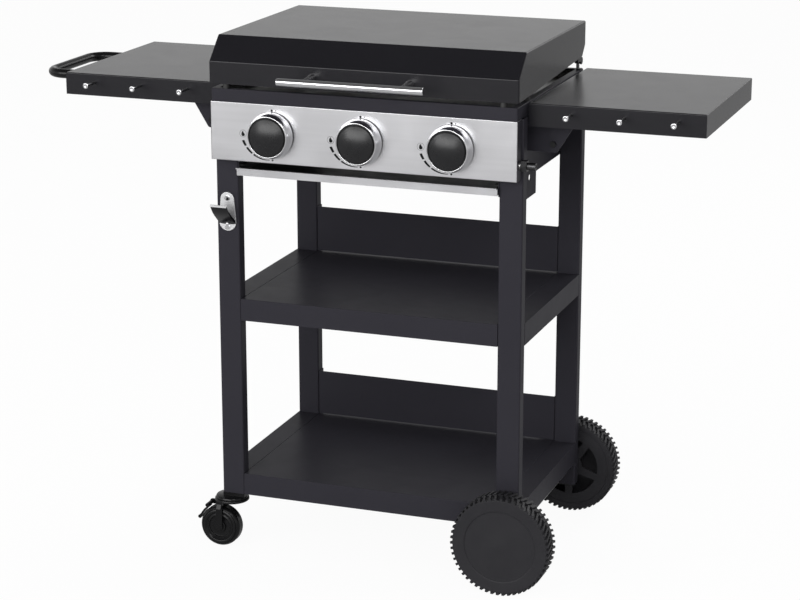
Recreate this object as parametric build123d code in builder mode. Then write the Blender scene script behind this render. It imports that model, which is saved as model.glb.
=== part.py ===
"""Gas griddle on a two-shelf cart, with a hinged lid, three burners, drip tray, wheels and casters."""
import os

from build123d import *

os.makedirs("parts", exist_ok=True)

# Cart frame of rectangular steel tube
frame_width = 587.0
frame_depth = 407.0
leg_width = 43.5
leg_depth = 25.0
leg_wall = 1.5
leg_corner = 3.0
leg_top = 873.0
caster_leg_foot = 112.0
wheel_leg_foot = 66.0
rail_wall = 1.5

# Storage shelves between the legs, each with a guard along its back
mid_shelf_top = 497.5
low_shelf_top = 153.5
shelf_apron = 41.5
shelf_sheet = 1.5
shelf_side_gap = 0.3
shelf_edge = 1.2
guard_height = 89.5
guard_sheet = 1.5
guard_return = 22.0
guard_lift = 1.5
guard_setback = 1.0

# Side plates that join the legs under the griddle and carry the tray runners
side_sheet = 1.5
side_foot = 731.0
hose_tab_drop = 41.0
hose_tab_width = 59.0
hose_tab_y = -6.0
hose_hole = 12.0
hose_hole_y = -17.5
hose_hole_drop = 3.5

# Hexagon bolts of the cart, and the slack of a bolt in its hole
bolt_diameter = 6.0
bolt_head = 10.0
bolt_head_height = 4.0
bolt_flats = 6
bolt_reach = 12.0
bolt_slack = 0.1
side_bolt_low = 776.0
side_bolt_high = 850.0
shelf_bolt_y = 120.0
shelf_bolt_drop = 22.0

# Drip tray and its two runners
runner_sheet = 1.5
runner_flange = 20.0
runner_lip = 8.0
runner_foot = 734.0
runner_height = 18.5
runner_length = 350.0
runner_start = 1.5
tray_play = 1.0
tray_slide_gap = 0.3
tray_sheet = 1.0
tray_depth = 12.5
tray_length = 348.0
tray_lead = 6.0
tray_front_sheet = 2.0
tray_front_height = 14.5
tray_front_drop = 1.5
tray_front_lip = 7.0
tray_front_margin = 1.0

# Top frame around the cooking plate
top_frame_lead = 24.5
top_frame_back_inset = 7.5
top_frame_side_inset = 4.5
top_frame_height = 23.5
top_frame_sheet = 1.5
top_frame_flange = 12.0
top_frame_corner = 3.0
ledge_cover = 4.0

# Cooking plate with its raised edge and drain spout
plate_gap = 1.5
plate_floor = 5.0
plate_wall = 4.0
plate_height = 18.5
drain_x = 85.0
drain_y = 110.0
drain_bore = 18.0
drain_wall = 2.0
drain_reach = 106.0
drain_clearance = 4.0

# Firebox below the plate
firebox_front_inset = 25.5
firebox_back_inset = 33.5
firebox_height = 98.0
firebox_sheet = 1.5
vent_width = 60.0
vent_height = 10.0
vent_pitch = 90.0
vent_count = 5
vent_rise = 60.0

# Tube burners, their rear pins and the spark electrodes
burner_diameter = 26.0
burner_wall = 1.2
burner_lead = 8.0
burner_back_gap = 18.5
burner_pin = 8.0
burner_fit = 0.15
port_diameter = 3.0
port_pitch = 24.0
port_count = 11
port_tilt = 8.0
electrode_offset = 24.0
electrode_rise = 10.0
electrode_diameter = 3.0
electrode_length = 48.0
ceramic_diameter = 8.0
ceramic_length = 22.0

# Control panel, and knobs of a tapered barrel with a domed cap
panel_width = 580.0
panel_lead = 26.5
panel_height = 107.5
panel_sheet = 1.5
panel_bend = 1.2
knob_pitch = 170.0
knob_drop = 55.0
knob_back_diameter = 84.0
knob_lip_diameter = 76.0
knob_lip = 2.0
knob_length = 22.5
knob_float = 3.5
knob_recess = 4.0
knob_web = 3.0
knob_hub = 18.0
knob_hub_set = 2.5
cap_gap = 2.0
cap_rise = 0.5
cap_dome = 6.5
cap_edge = 1.5
stem_diameter = 8.0
stem_push = 3.0
stem_fit = 0.05
stem_end_gap = 1.0
stem_hole = 14.0

# Gas valves on the manifold pipe, and its inlet
manifold_diameter = 16.0
manifold_wall = 1.5
manifold_set = 11.0
manifold_drop = 25.0
manifold_left = 275.0
manifold_right = 294.0
manifold_hole_gap = 0.6
clamp_width = 14.0
clamp_wall = 4.0
clamp_inset = 12.0
valve_width = 24.0
valve_depth = 26.0
valve_height = 24.0
valve_panel_gap = 7.5
bonnet_diameter = 17.0
bonnet_length = 5.5
valve_bore_depth = 27.5
valve_nipple = 10.0
jet_diameter = 8.0
jet_length = 12.0
inlet_hex = 19.0
inlet_hex_length = 11.0
inlet_flats = 6
inlet_thread = 13.0
inlet_thread_length = 15.0
inlet_spigot_length = 8.0
inlet_bore = 7.0

# Lid, its hinges and bumpers
lid_width = 584.0
lid_sheet = 1.5
lid_overhang = 1.5
lid_gap = 8.5
lid_band = 40.5
lid_height = 82.5
lid_slope_run = 43.0
lid_bend = 3.0
lid_hem = 12.0
lid_pivot_inset = 18.0
lid_pivot_rise = 17.5
lid_heel = 9.0
lid_back_rise = 28.0
hinge_sheet = 2.5
hinge_lobe = 7.0
hinge_pin = 8.0
hinge_fit = 0.08
hinge_shoulder = 12.0
hinge_head_length = 4.0
hinge_bracket_set = 5.0
hinge_gap = 0.3
hinge_arm_width = 22.0
hinge_arm_height = 46.0
hinge_arm_inset = 4.0
bumper_diameter = 12.0
bumper_relief = 0.3
front_bumper_x = 262.0
side_bumper_y = 74.0

# Lid handle bar on two tapered posts
bar_diameter = 14.0
bar_length = 274.0
bar_chamfer = 1.0
bar_standoff = 55.0
bar_rise = 21.0
post_spread = 92.0
post_base = 16.0
post_tip = 9.0
saddle_gap = 0.05

# Side shelves, their arms and gussets
side_shelf_gap = 2.0
side_shelf_length = 316.0
side_shelf_depth = 377.0
side_shelf_mid_y = 12.0
side_shelf_top = 897.0
side_shelf_apron = 41.0
side_shelf_sheet = 1.5
side_shelf_bend = 2.0
arm_spread = 149.5
arm_reach = 86.0
arm_sheet = 2.5
arm_flange = 25.0
gusset_foot = 804.0
gusset_lap = 14.0
gusset_reach = 56.0
gusset_sheet = 2.5
gusset_corner = 6.0
bracket_bolt_margin = 15.0
bracket_bolt_pitch = 45.0
bracket_bolt_reach = 12.0

# Tool hooks along the fronts of the side shelves
hook_pitch = 95.0
hook_left_offset = 3.0
hook_right_offset = 14.0
hook_drop = 16.0
hook_rod = 5.0
hook_reach = 35.0
hook_head = 10.5
hook_head_length = 4.0
hook_tail = 8.0
hook_fit = 0.05

# Push handle at the end of the left side shelf
handle_diameter = 18.0
handle_wall = 1.5
handle_reach = 87.0
handle_span = 206.0
handle_bend = 36.0
handle_drop = 20.0
handle_tail = 8.0
handle_fit = 0.05

# Bottle opener on the front left leg
opener_top = 700.0
opener_height = 73.0
opener_width = 34.0
opener_crown = 27.0
opener_sheet = 3.0
opener_mouth_width = 33.0
opener_mouth_reach = 41.0
opener_mouth_low = 18.0
opener_mouth_rise = 39.0
opener_tooth = 4.0
opener_screw_high = 11.0
opener_screw_low = 7.0
opener_screw = 5.0
opener_screw_head = 9.0
opener_screw_head_height = 2.5
opener_screw_reach = 9.0

# Road wheels on a through axle along the right-hand legs
wheel_diameter = 187.0
wheel_width = 46.5
wheel_gap = 4.6
axle_diameter = 12.0
axle_fit = 0.05
axle_set = 1.5
axle_blind = 7.0
spacer_diameter = 22.0
spacer_play = 0.3
lug_count = 54
lug_height = 4.0
lug_width = 5.5
lug_row_gap = 1.5
rim_thickness = 11.0
wheel_side_relief = 1.0
wheel_web = 3.0
wheel_inner_web_set = 2.0
wheel_dish_diameter = 138.0
wheel_dish_depth = 2.5
wheel_dish_slope = 45.0
wheel_hub = 30.0
window_count = 5
window_inner = 26.0
window_outer = 58.0
window_spoke = 15.0
first_spoke = 270.0

# Swivel casters under the left-hand legs
caster_wheel_diameter = 80.0
caster_wheel_width = 29.0
caster_tyre_round = 9.0
caster_trail = 31.25
caster_pin = 8.0
caster_pin_fit = 0.05
caster_dish = 52.0
caster_hub = 24.0
caster_dish_depth = 4.0
fork_cheek = 3.0
fork_play = 1.0
fork_hood = 66.0
fork_hood_set = 9.25
fork_hood_height = 10.0
fork_hood_round = 5.0
fork_arm = 12.0
fork_arm_set = 2.0
fork_axle_boss = 16.0
fork_tail = 5.0
fork_tail_depth = 10.0
socket_flange = 7.0
cap_flange = 1.6
plug_slack = 0.2
cap_plug = 16.0
socket_plug = 34.0
swivel_gap = 0.4
caster_stem = 10.0
caster_stem_length = 30.0
caster_stem_fit = 0.05
brake_pivot_back = 27.0
brake_pivot_rise = 38.0
brake_pin = 4.0
brake_pin_fit = 0.08
brake_boss = 7.6
brake_width = 18.0
brake_sheet = 3.5
brake_pin_end = 1.0
brake_gap = 1.5
brake_start = 125.0
brake_sweep = 38.0
brake_toe = 7.0

# Places worked out from the sizes above
sides = {"left": -1, "right": 1}
rows = {"front": -1, "rear": 1}
shelves = {"mid_shelf": mid_shelf_top, "low_shelf": low_shelf_top}
knob_places = {"left": -knob_pitch, "middle": 0.0, "right": knob_pitch}
half_width = frame_width / 2
inner_x = half_width - leg_width
leg_x = half_width - leg_width / 2
front_y = -frame_depth / 2
rear_y = frame_depth / 2
leg_y = rear_y - leg_depth / 2
rail_length = frame_depth - 2 * leg_depth
shelf_width = 2 * (inner_x - shelf_side_gap)
guard_front = rear_y - leg_depth + guard_setback
guard_bolt_y = guard_front + guard_return / 2
side_inner_x = inner_x - side_sheet

runner_inner_x = side_inner_x - runner_sheet
tray_half = runner_inner_x - tray_play
tray_floor = runner_foot + runner_sheet + tray_slide_gap
tray_front = front_y - tray_lead

top_frame_front = front_y - top_frame_lead
top_frame_back = rear_y - top_frame_back_inset
top_frame_half = half_width - top_frame_side_inset
top_frame_top = leg_top + top_frame_height
ledge_top = leg_top + top_frame_sheet
firebox_front = front_y + firebox_front_inset
firebox_back = rear_y - firebox_back_inset
firebox_foot = leg_top - firebox_height
plate_half = top_frame_half - top_frame_flange - plate_gap
plate_front = top_frame_front + top_frame_flange + plate_gap
plate_back = top_frame_back - top_frame_flange - plate_gap

panel_half = panel_width / 2
panel_front = front_y - panel_lead
panel_inner = panel_front + panel_sheet
knob_z = leg_top - knob_drop
burner_front = firebox_front - burner_lead
burner_back = firebox_back - firebox_sheet - burner_back_gap
manifold_y = front_y - manifold_set
manifold_z = knob_z - manifold_drop
manifold_half = manifold_diameter / 2
valve_front = panel_inner + valve_panel_gap
valve_back = valve_front + valve_depth
stem_inner = valve_front - bonnet_length + valve_bore_depth - stem_push - stem_end_gap
knob_back = panel_front - knob_float
knob_front = knob_back - knob_length
knob_web_front = knob_front + knob_recess
knob_web_back = knob_web_front + knob_web
knob_hub_back = knob_back - knob_hub_set
knob_bore_end = knob_web_front + stem_end_gap
stem_outer = knob_bore_end + stem_end_gap
recess_diameter = knob_lip_diameter - 2 * knob_lip
cap_diameter = recess_diameter - 2 * cap_gap

lid_half = lid_width / 2
lid_front = top_frame_front - lid_overhang
lid_lip = top_frame_top + lid_gap
lid_top = lid_lip + lid_height
lid_pivot_y = top_frame_back - lid_pivot_inset
lid_pivot_z = top_frame_top + lid_pivot_rise
bar_y = lid_front - bar_standoff
bar_z = lid_lip + bar_rise

side_shelf_in = lid_half + side_shelf_gap
side_shelf_out = side_shelf_in + side_shelf_length
side_shelf_front = side_shelf_mid_y - side_shelf_depth / 2
side_shelf_under = side_shelf_top - side_shelf_sheet
arm_end = inner_x + arm_reach
gusset_in = arm_end - gusset_lap
gusset_tip = arm_end + gusset_reach
side_shelf_mid_x = side_shelf_in + side_shelf_length / 2
hook_middles = {"left": side_shelf_mid_x + hook_left_offset, "right": side_shelf_mid_x + hook_right_offset}
hook_z = side_shelf_top - hook_drop
handle_z = side_shelf_top - handle_drop

wheel_start = rear_y + wheel_gap
axle_x = leg_x + axle_set
axle_height = wheel_diameter / 2
caster_top = caster_leg_foot - socket_flange - swivel_gap
caster_x = -leg_x - caster_trail
caster_axle_z = caster_wheel_diameter / 2
fork_inner = caster_wheel_width / 2 + fork_play
fork_outer = fork_inner + fork_cheek

centre = (Align.CENTER, Align.CENTER, Align.CENTER)
upward = (Align.CENTER, Align.CENTER, Align.MIN)
downward = (Align.CENTER, Align.CENTER, Align.MAX)


def block(low, high, mode=Mode.ADD):
    """Add or cut the box between two opposite corners, given in any order."""
    middle = [(a + b) / 2 for a, b in zip(low, high)]
    extent = [abs(b - a) for a, b in zip(low, high)]
    with Locations(tuple(middle)):
        Box(*extent, align=centre, mode=mode)


def rod(start, end, diameter, mode=Mode.ADD):
    """Add or cut the round bar between two points."""
    run = Vector(*end) - Vector(*start)
    with Locations(Plane(origin=start, z_dir=run).location):
        Cylinder(diameter / 2, run.length, align=upward, mode=mode)


def seat_x(x, y, z, facing):
    """Plane through a point that faces along +X (1) or -X (-1)."""
    return Plane(origin=(x, y, z), x_dir=(0, 1, 0), z_dir=(facing, 0, 0))


def seat_y(x, y, z, facing):
    """Plane through a point that faces along +Y (1) or -Y (-1)."""
    return Plane(origin=(x, y, z), x_dir=(1, 0, 0), z_dir=(0, facing, 0))


def drill(seats, diameter, depth):
    """Cut a round hole from each seat plane, against the way it faces."""
    for seat in seats:
        with Locations(seat.location):
            Cylinder(diameter / 2, depth, align=downward, mode=Mode.SUBTRACT)


def edge_strips(low, high, thickness, seats=()):
    """Make four upright strips inside the edges of a box, butted at its corners and drilled."""
    strips = []
    for x_low, x_high, y_low, y_high in (
        (low[0], high[0], low[1], low[1] + thickness),
        (low[0], high[0], high[1] - thickness, high[1]),
        (low[0], low[0] + thickness, low[1] + thickness, high[1] - thickness),
        (high[0] - thickness, high[0], low[1] + thickness, high[1] - thickness),
    ):
        with BuildPart() as strip:
            block((x_low, y_low, low[2]), (x_high, y_high, high[2]))
            drill(seats, bolt_hole, bolt_reach)
        strips.append(strip.part)
    return strips


# Seats of the bolts that hold the plates, shelves and guards to the legs and rails
bolt_hole = bolt_diameter + 2 * bolt_slack
side_seats = {
    (side, row): [
        seat_x(x_sign * side_inner_x, y_sign * leg_y, z, -x_sign) for z in (side_bolt_low, side_bolt_high)
    ]
    for side, x_sign in sides.items()
    for row, y_sign in rows.items()
}
shelf_seats = {
    name: [
        seat_x(x_sign * (shelf_width / 2 - shelf_sheet), y, top - shelf_bolt_drop, -x_sign)
        for x_sign in sides.values()
        for y in (-shelf_bolt_y, shelf_bolt_y)
    ]
    for name, top in shelves.items()
}
guard_seats = {
    (name, side): seat_x(
        x_sign * (shelf_width / 2 - guard_sheet), guard_bolt_y, top + guard_lift + guard_height / 2, -x_sign
    )
    for name, top in shelves.items()
    for side, x_sign in sides.items()
}
opener_x = -leg_x
opener_foot = opener_top - opener_height
opener_seats = [
    seat_y(opener_x, front_y - opener_sheet, z, -1)
    for z in (opener_top - opener_screw_high, opener_foot + opener_screw_low)
]

# Legs: four rectangular tubes, the right-hand pair longer and bored for the axle
for row, y_sign in rows.items():
    for side, x_sign in sides.items():
        foot = caster_leg_foot if side == "left" else wheel_leg_foot
        with BuildPart() as leg:
            with BuildSketch(Plane.XY.offset(foot)):
                with Locations((x_sign * leg_x, y_sign * leg_y)):
                    RectangleRounded(leg_width, leg_depth, leg_corner)
                    Rectangle(leg_width - 2 * leg_wall, leg_depth - 2 * leg_wall, mode=Mode.SUBTRACT)
            extrude(amount=leg_top - foot)
            drill(side_seats[side, row], bolt_hole, bolt_reach)
            if row == "rear":
                drill([guard_seats[name, side] for name in shelves], bolt_hole, bolt_reach)
            if side == "right":
                axle_point = (axle_x, y_sign * (leg_y - leg_depth), axle_height)
                axle_exit = (axle_x, y_sign * (leg_y + leg_depth), axle_height)
                rod(axle_point, axle_exit, axle_diameter + 2 * axle_fit, Mode.SUBTRACT)
            if (row, side) == ("front", "left"):
                drill(opener_seats, opener_screw + 2 * bolt_slack, opener_screw_reach + opener_sheet)
        leg.part.label = f"leg_{row}_{side}"
        export_step(leg.part, f"parts/leg_{row}_{side}.step")

# Side rails: square-ended tubes between the legs at the height of each shelf
with BuildPart() as side_rails:
    for name, top in shelves.items():
        with Locations((-leg_x, 0, top - shelf_apron / 2), (leg_x, 0, top - shelf_apron / 2)):
            Box(leg_width, rail_length, shelf_apron)
            Box(leg_width - 2 * rail_wall, rail_length, shelf_apron - 2 * rail_wall, mode=Mode.SUBTRACT)
        drill(shelf_seats[name], bolt_hole, bolt_reach)
side_rails.part.label = "side_rails"
export_step(side_rails.part, "parts/side_rails.step")

# Storage shelves: decks with four aprons welded under their edges, between the rails
for name, top in shelves.items():
    with BuildPart() as deck:
        with Locations((0, 0, top)):
            Box(shelf_width, frame_depth, shelf_sheet, align=downward)
        fillet(deck.edges().group_by(Axis.Z)[-1], shelf_edge)
    aprons = edge_strips(
        (-shelf_width / 2, -frame_depth / 2, top - shelf_apron),
        (shelf_width / 2, frame_depth / 2, top - shelf_sheet),
        shelf_sheet,
        shelf_seats[name],
    )
    shelf = Part(children=[deck.part, *aprons])
    shelf.label = name
    export_step(shelf, f"parts/{name}.step")

# Guards: folded strips between the rear legs, just above each shelf
for name, top in shelves.items():
    guard_name = name.replace("shelf", "guard")
    guard_foot = top + guard_lift
    guard_back = guard_front + guard_return
    guard_top = guard_foot + guard_height
    with BuildPart() as guard:
        block((-shelf_width / 2, guard_front, guard_foot), (shelf_width / 2, guard_back, guard_top))
        fillet(guard.edges().filter_by(Axis.Z).group_by(Axis.Y)[0], guard_sheet)
        block(
            (guard_sheet - shelf_width / 2, guard_front + guard_sheet, guard_foot),
            (shelf_width / 2 - guard_sheet, guard_back, guard_top),
            Mode.SUBTRACT,
        )
        drill([guard_seats[name, side] for side in sides], bolt_hole, bolt_reach)
    guard.part.label = guard_name
    export_step(guard.part, f"parts/{guard_name}.step")

# Bolts of the cart frame, all of one kind
cart_seats = [seat for seats in side_seats.values() for seat in seats]
cart_seats += [seat for seats in shelf_seats.values() for seat in seats]
cart_seats += list(guard_seats.values())
with BuildPart() as cart_bolts:
    with BuildSketch(*cart_seats):
        RegularPolygon(bolt_head / 2, bolt_flats, major_radius=False)
    extrude(amount=bolt_head_height)
    with BuildSketch(*cart_seats):
        Circle(bolt_diameter / 2)
    extrude(amount=-bolt_reach)
cart_bolts.part.label = "cart_bolts"
export_step(cart_bolts.part, "parts/cart_bolts.step")

# Seats of the bolts that hold the shelf arms to the side plates and firebox
arm_places = {
    (side, row): (x_sign, y_sign, side_shelf_mid_y + y_sign * arm_spread)
    for side, x_sign in sides.items()
    for row, y_sign in rows.items()
}
flange_seats = [
    seat_x(x_sign * (inner_x + arm_sheet), arm_y - y_sign * arm_flange / 2, z, x_sign)
    for x_sign, y_sign, arm_y in arm_places.values()
    for z in (gusset_foot + bracket_bolt_margin, gusset_foot + bracket_bolt_margin + bracket_bolt_pitch)
]
lap_seats = [
    seat_y(x_sign * (arm_end - gusset_lap / 2), arm_y + y_sign * gusset_sheet, z, y_sign)
    for x_sign, y_sign, arm_y in arm_places.values()
    for z in (gusset_foot + bracket_bolt_margin, gusset_foot + bracket_bolt_margin + bracket_bolt_pitch)
]

# Side plates between the legs, the right-hand one with a tab for the gas hose
with BuildPart() as side_plates:
    for x_sign in sides.values():
        block((x_sign * inner_x, front_y, side_foot), (x_sign * side_inner_x, rear_y, leg_top))
    block(
        (side_inner_x, hose_tab_y - hose_tab_width / 2, side_foot - hose_tab_drop),
        (inner_x, hose_tab_y + hose_tab_width / 2, side_foot),
    )
    drill([seat_x(inner_x, hose_hole_y, side_foot - hose_hole_drop, 1)], hose_hole, side_sheet)
    for seats in side_seats.values():
        drill(seats, bolt_hole, bolt_reach)
    drill(flange_seats, bolt_hole, bracket_bolt_reach)
side_plates.part.label = "side_plates"
export_step(side_plates.part, "parts/side_plates.step")

# Tray runners: channels along the inner faces of the side plates
runner_front = front_y + runner_start
runner_back = runner_front + runner_length
with BuildPart() as tray_runners:
    for x_sign in sides.values():
        web_x = x_sign * side_inner_x
        foot_x = x_sign * (side_inner_x - runner_flange)
        lip_x = x_sign * (side_inner_x - runner_lip)
        runner_top = runner_foot + runner_height
        block((web_x, runner_front, runner_foot), (x_sign * runner_inner_x, runner_back, runner_top))
        block((web_x, runner_front, runner_foot), (foot_x, runner_back, runner_foot + runner_sheet))
        block((web_x, runner_front, runner_top), (lip_x, runner_back, runner_top - runner_sheet))
tray_runners.part.label = "tray_runners"
export_step(tray_runners.part, "parts/tray_runners.step")

# Drip tray: a floor with four welded walls, which rides on the runner flanges
tray_back = tray_front + tray_length
with BuildPart() as tray_sole:
    block((-tray_half, tray_front, tray_floor), (tray_half, tray_back, tray_floor + tray_sheet))
tray_walls = edge_strips(
    (-tray_half, tray_front, tray_floor + tray_sheet),
    (tray_half, tray_back, tray_floor + tray_depth),
    tray_sheet,
)
drip_tray = Part(children=[tray_sole.part, *tray_walls])
drip_tray.label = "drip_tray"
export_step(drip_tray, "parts/drip_tray.step")

# Front strip of the tray, folded back along its top as a finger pull
strip_half = inner_x - tray_front_margin
strip_foot = tray_floor - tray_front_drop
strip_top = strip_foot + tray_front_height
with BuildPart() as tray_strip:
    block((-strip_half, tray_front, strip_foot), (strip_half, tray_front - tray_front_sheet, strip_top))
    block(
        (-strip_half, tray_front - tray_front_lip, strip_top - tray_front_sheet),
        (strip_half, tray_front, strip_top),
    )
tray_strip.part.label = "tray_front"
export_step(tray_strip.part, "parts/tray_front.step")

# Top frame: a folded channel that sits on the legs and rings the cooking plate
with BuildPart() as top_frame:
    block((-top_frame_half, top_frame_front, leg_top), (top_frame_half, top_frame_back, top_frame_top))
    fillet(top_frame.edges().filter_by(Axis.Z), top_frame_corner)
    fillet(top_frame.edges().group_by(Axis.Z)[-1], top_frame_sheet)
    channel_top = top_frame_top - top_frame_sheet
    block(
        (top_frame_sheet - top_frame_half, top_frame_front + top_frame_sheet, ledge_top),
        (top_frame_half - top_frame_sheet, top_frame_back - top_frame_sheet, channel_top),
        Mode.SUBTRACT,
    )
    block(
        (top_frame_flange - top_frame_half, top_frame_front + top_frame_flange, ledge_top),
        (top_frame_half - top_frame_flange, top_frame_back - top_frame_flange, top_frame_top),
        Mode.SUBTRACT,
    )
    block(
        (ledge_cover - side_inner_x, firebox_front + ledge_cover, leg_top),
        (side_inner_x - ledge_cover, firebox_back - ledge_cover, ledge_top),
        Mode.SUBTRACT,
    )
top_frame.part.label = "top_frame"
export_step(top_frame.part, "parts/top_frame.step")

# Cooking plate: a thick plate drained through a spout, with four edge strips welded on top
plate_top = ledge_top + plate_floor
with BuildPart() as plate_sheet:
    block((-plate_half, plate_front, ledge_top), (plate_half, plate_back, plate_top))
    drain_foot = (drain_x, drain_y, ledge_top - drain_reach)
    rod((drain_x, drain_y, ledge_top), drain_foot, drain_bore + 2 * drain_wall)
    rod((drain_x, drain_y, plate_top), drain_foot, drain_bore, Mode.SUBTRACT)
plate_strips = edge_strips(
    (-plate_half, plate_front, plate_top), (plate_half, plate_back, ledge_top + plate_height), plate_wall
)
griddle_plate = Part(children=[plate_sheet.part, *plate_strips])
griddle_plate.label = "griddle_plate"
export_step(griddle_plate, "parts/griddle_plate.step")

# Firebox: an open box between the side plates, pierced for burners, electrodes, air and drain
electrode_z = knob_z + electrode_rise
with BuildPart() as firebox:
    block((-side_inner_x, firebox_front, firebox_foot), (side_inner_x, firebox_back, leg_top))
    block(
        (firebox_sheet - side_inner_x, firebox_front + firebox_sheet, firebox_foot + firebox_sheet),
        (side_inner_x - firebox_sheet, firebox_back - firebox_sheet, leg_top),
        Mode.SUBTRACT,
    )
    for x in knob_places.values():
        front_hole = seat_y(x, firebox_front, knob_z, -1)
        electrode_hole = seat_y(x + electrode_offset, firebox_front, electrode_z, -1)
        drill([front_hole], burner_diameter + 2 * burner_fit, firebox_sheet)
        drill([electrode_hole], ceramic_diameter + 2 * burner_fit, firebox_sheet)
        drill([seat_y(x, firebox_back, knob_z, 1)], burner_pin + 2 * burner_fit, firebox_sheet)
    drain_seat = Plane.XY.offset(firebox_foot + firebox_sheet).move(Location((drain_x, drain_y, 0)))
    drill([drain_seat], drain_bore + 2 * (drain_wall + drain_clearance), firebox_sheet)
    with BuildSketch(seat_y(0, firebox_back, firebox_foot + vent_rise, 1)):
        with GridLocations(vent_pitch, 0, vent_count, 1):
            SlotOverall(vent_width, vent_height)
    extrude(amount=-firebox_sheet, mode=Mode.SUBTRACT)
    drill(flange_seats, bolt_hole, bracket_bolt_reach)
firebox.part.label = "firebox"
export_step(firebox.part, "parts/firebox.step")

# Burners: ported tubes through the firebox front, each held by a pin at its back
with BuildPart() as burner:
    rod((0, burner_front, knob_z), (0, burner_back, knob_z), burner_diameter)
    bore_end = burner_back - burner_wall
    rod((0, burner_front, knob_z), (0, bore_end, knob_z), burner_diameter - 2 * burner_wall, Mode.SUBTRACT)
    rod((0, burner_back, knob_z), (0, firebox_back + firebox_sheet, knob_z), burner_pin)
    port_mid = (firebox_front + burner_back) / 2
    for index in range(port_count):
        port_y = port_mid + (index - (port_count - 1) / 2) * port_pitch
        port_left = (-burner_diameter, port_y, knob_z + port_tilt)
        port_right = (burner_diameter, port_y, knob_z + port_tilt)
        rod(port_left, port_right, port_diameter, Mode.SUBTRACT)
burners = Part(children=[burner.part.moved(Location((x, 0, 0))) for x in knob_places.values()])
burners.label = "burners"
export_step(burners, "parts/burners.step")

# Spark electrodes through the firebox front, beside each burner
with BuildPart() as igniters:
    for x in knob_places.values():
        spark_x = x + electrode_offset
        ceramic_start = firebox_front - ceramic_length / 2
        rod((spark_x, ceramic_start, electrode_z), (spark_x, ceramic_start + ceramic_length, electrode_z),
            ceramic_diameter)
        rod((spark_x, ceramic_start, electrode_z), (spark_x, ceramic_start + electrode_length, electrode_z),
            electrode_diameter)
igniters.part.label = "igniters"
export_step(igniters.part, "parts/igniters.step")

# Manifold: the gas pipe behind the panel, open at its right-hand end
pipe_left = (-manifold_left, manifold_y, manifold_z)
pipe_right = (manifold_right, manifold_y, manifold_z)
nipple_foot = manifold_z + manifold_half - manifold_wall
with BuildPart() as manifold:
    rod(pipe_left, pipe_right, manifold_diameter)
    rod((manifold_wall - manifold_left, manifold_y, manifold_z), pipe_right,
        manifold_diameter - 2 * manifold_wall, Mode.SUBTRACT)
    for x in knob_places.values():
        nipple_hole = valve_nipple + 2 * bolt_slack
        rod((x, manifold_y, manifold_z), (x, manifold_y, knob_z), nipple_hole, Mode.SUBTRACT)
manifold.part.label = "manifold"
export_step(manifold.part, "parts/manifold.step")

# Clamps that hold the manifold to the front legs
with BuildPart() as manifold_clamps:
    clamp_half = manifold_half + clamp_wall
    for x_sign in sides.values():
        clamp_in = x_sign * (inner_x + clamp_inset - clamp_width / 2)
        clamp_out = x_sign * (inner_x + clamp_inset + clamp_width / 2)
        block(
            (clamp_in, manifold_y - clamp_half, manifold_z - clamp_half),
            (clamp_out, front_y, manifold_z + clamp_half),
        )
    rod(pipe_left, pipe_right, manifold_diameter + 2 * bolt_slack, Mode.SUBTRACT)
manifold_clamps.part.label = "manifold_clamps"
export_step(manifold_clamps.part, "parts/manifold_clamps.step")

# Gas inlet: a hexagon union screwed into the end of the manifold
hex_end = manifold_right + inlet_hex_length
thread_end = hex_end + inlet_thread_length
spigot_diameter = manifold_diameter - 2 * manifold_wall - 2 * bolt_slack
with BuildPart() as gas_inlet:
    with BuildSketch(seat_x(manifold_right, manifold_y, manifold_z, 1)):
        RegularPolygon(inlet_hex / 2, inlet_flats, major_radius=False)
    extrude(amount=inlet_hex_length)
    rod((hex_end, manifold_y, manifold_z), (thread_end, manifold_y, manifold_z), inlet_thread)
    rod((manifold_right - inlet_spigot_length, manifold_y, manifold_z), pipe_right, spigot_diameter)
    rod((manifold_right - inlet_spigot_length, manifold_y, manifold_z),
        (thread_end, manifold_y, manifold_z), inlet_bore, Mode.SUBTRACT)
gas_inlet.part.label = "gas_inlet"
export_step(gas_inlet.part, "parts/gas_inlet.step")

# Gas valves: a body on the manifold, a bonnet for the stem and a jet into the burner
with BuildPart() as valve:
    block(
        (-valve_width / 2, valve_front, knob_z - valve_height / 2),
        (valve_width / 2, valve_back, knob_z + valve_height / 2),
    )
    bonnet_front = valve_front - bonnet_length
    rod((0, valve_front, knob_z), (0, bonnet_front, knob_z), bonnet_diameter)
    rod((0, manifold_y, knob_z - valve_height / 2), (0, manifold_y, nipple_foot), valve_nipple)
    rod((0, valve_back, knob_z), (0, valve_back + jet_length, knob_z), jet_diameter)
    rod((0, bonnet_front, knob_z), (0, bonnet_front + valve_bore_depth, knob_z),
        stem_diameter + 2 * stem_fit, Mode.SUBTRACT)
valves = Part(children=[valve.part.moved(Location((x, 0, 0))) for x in knob_places.values()])
valves.label = "gas_valves"
export_step(valves, "parts/gas_valves.step")

# Valve stems: round spindles that push in against the valve's spring
with BuildPart() as stem:
    rod((0, stem_inner, knob_z), (0, stem_outer, knob_z), stem_diameter)
for place, x in knob_places.items():
    piece = stem.part.moved(Location((x, 0, 0)))
    piece.label = f"valve_stem_{place}"
    export_step(piece, f"parts/valve_stem_{place}.step")

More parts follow.
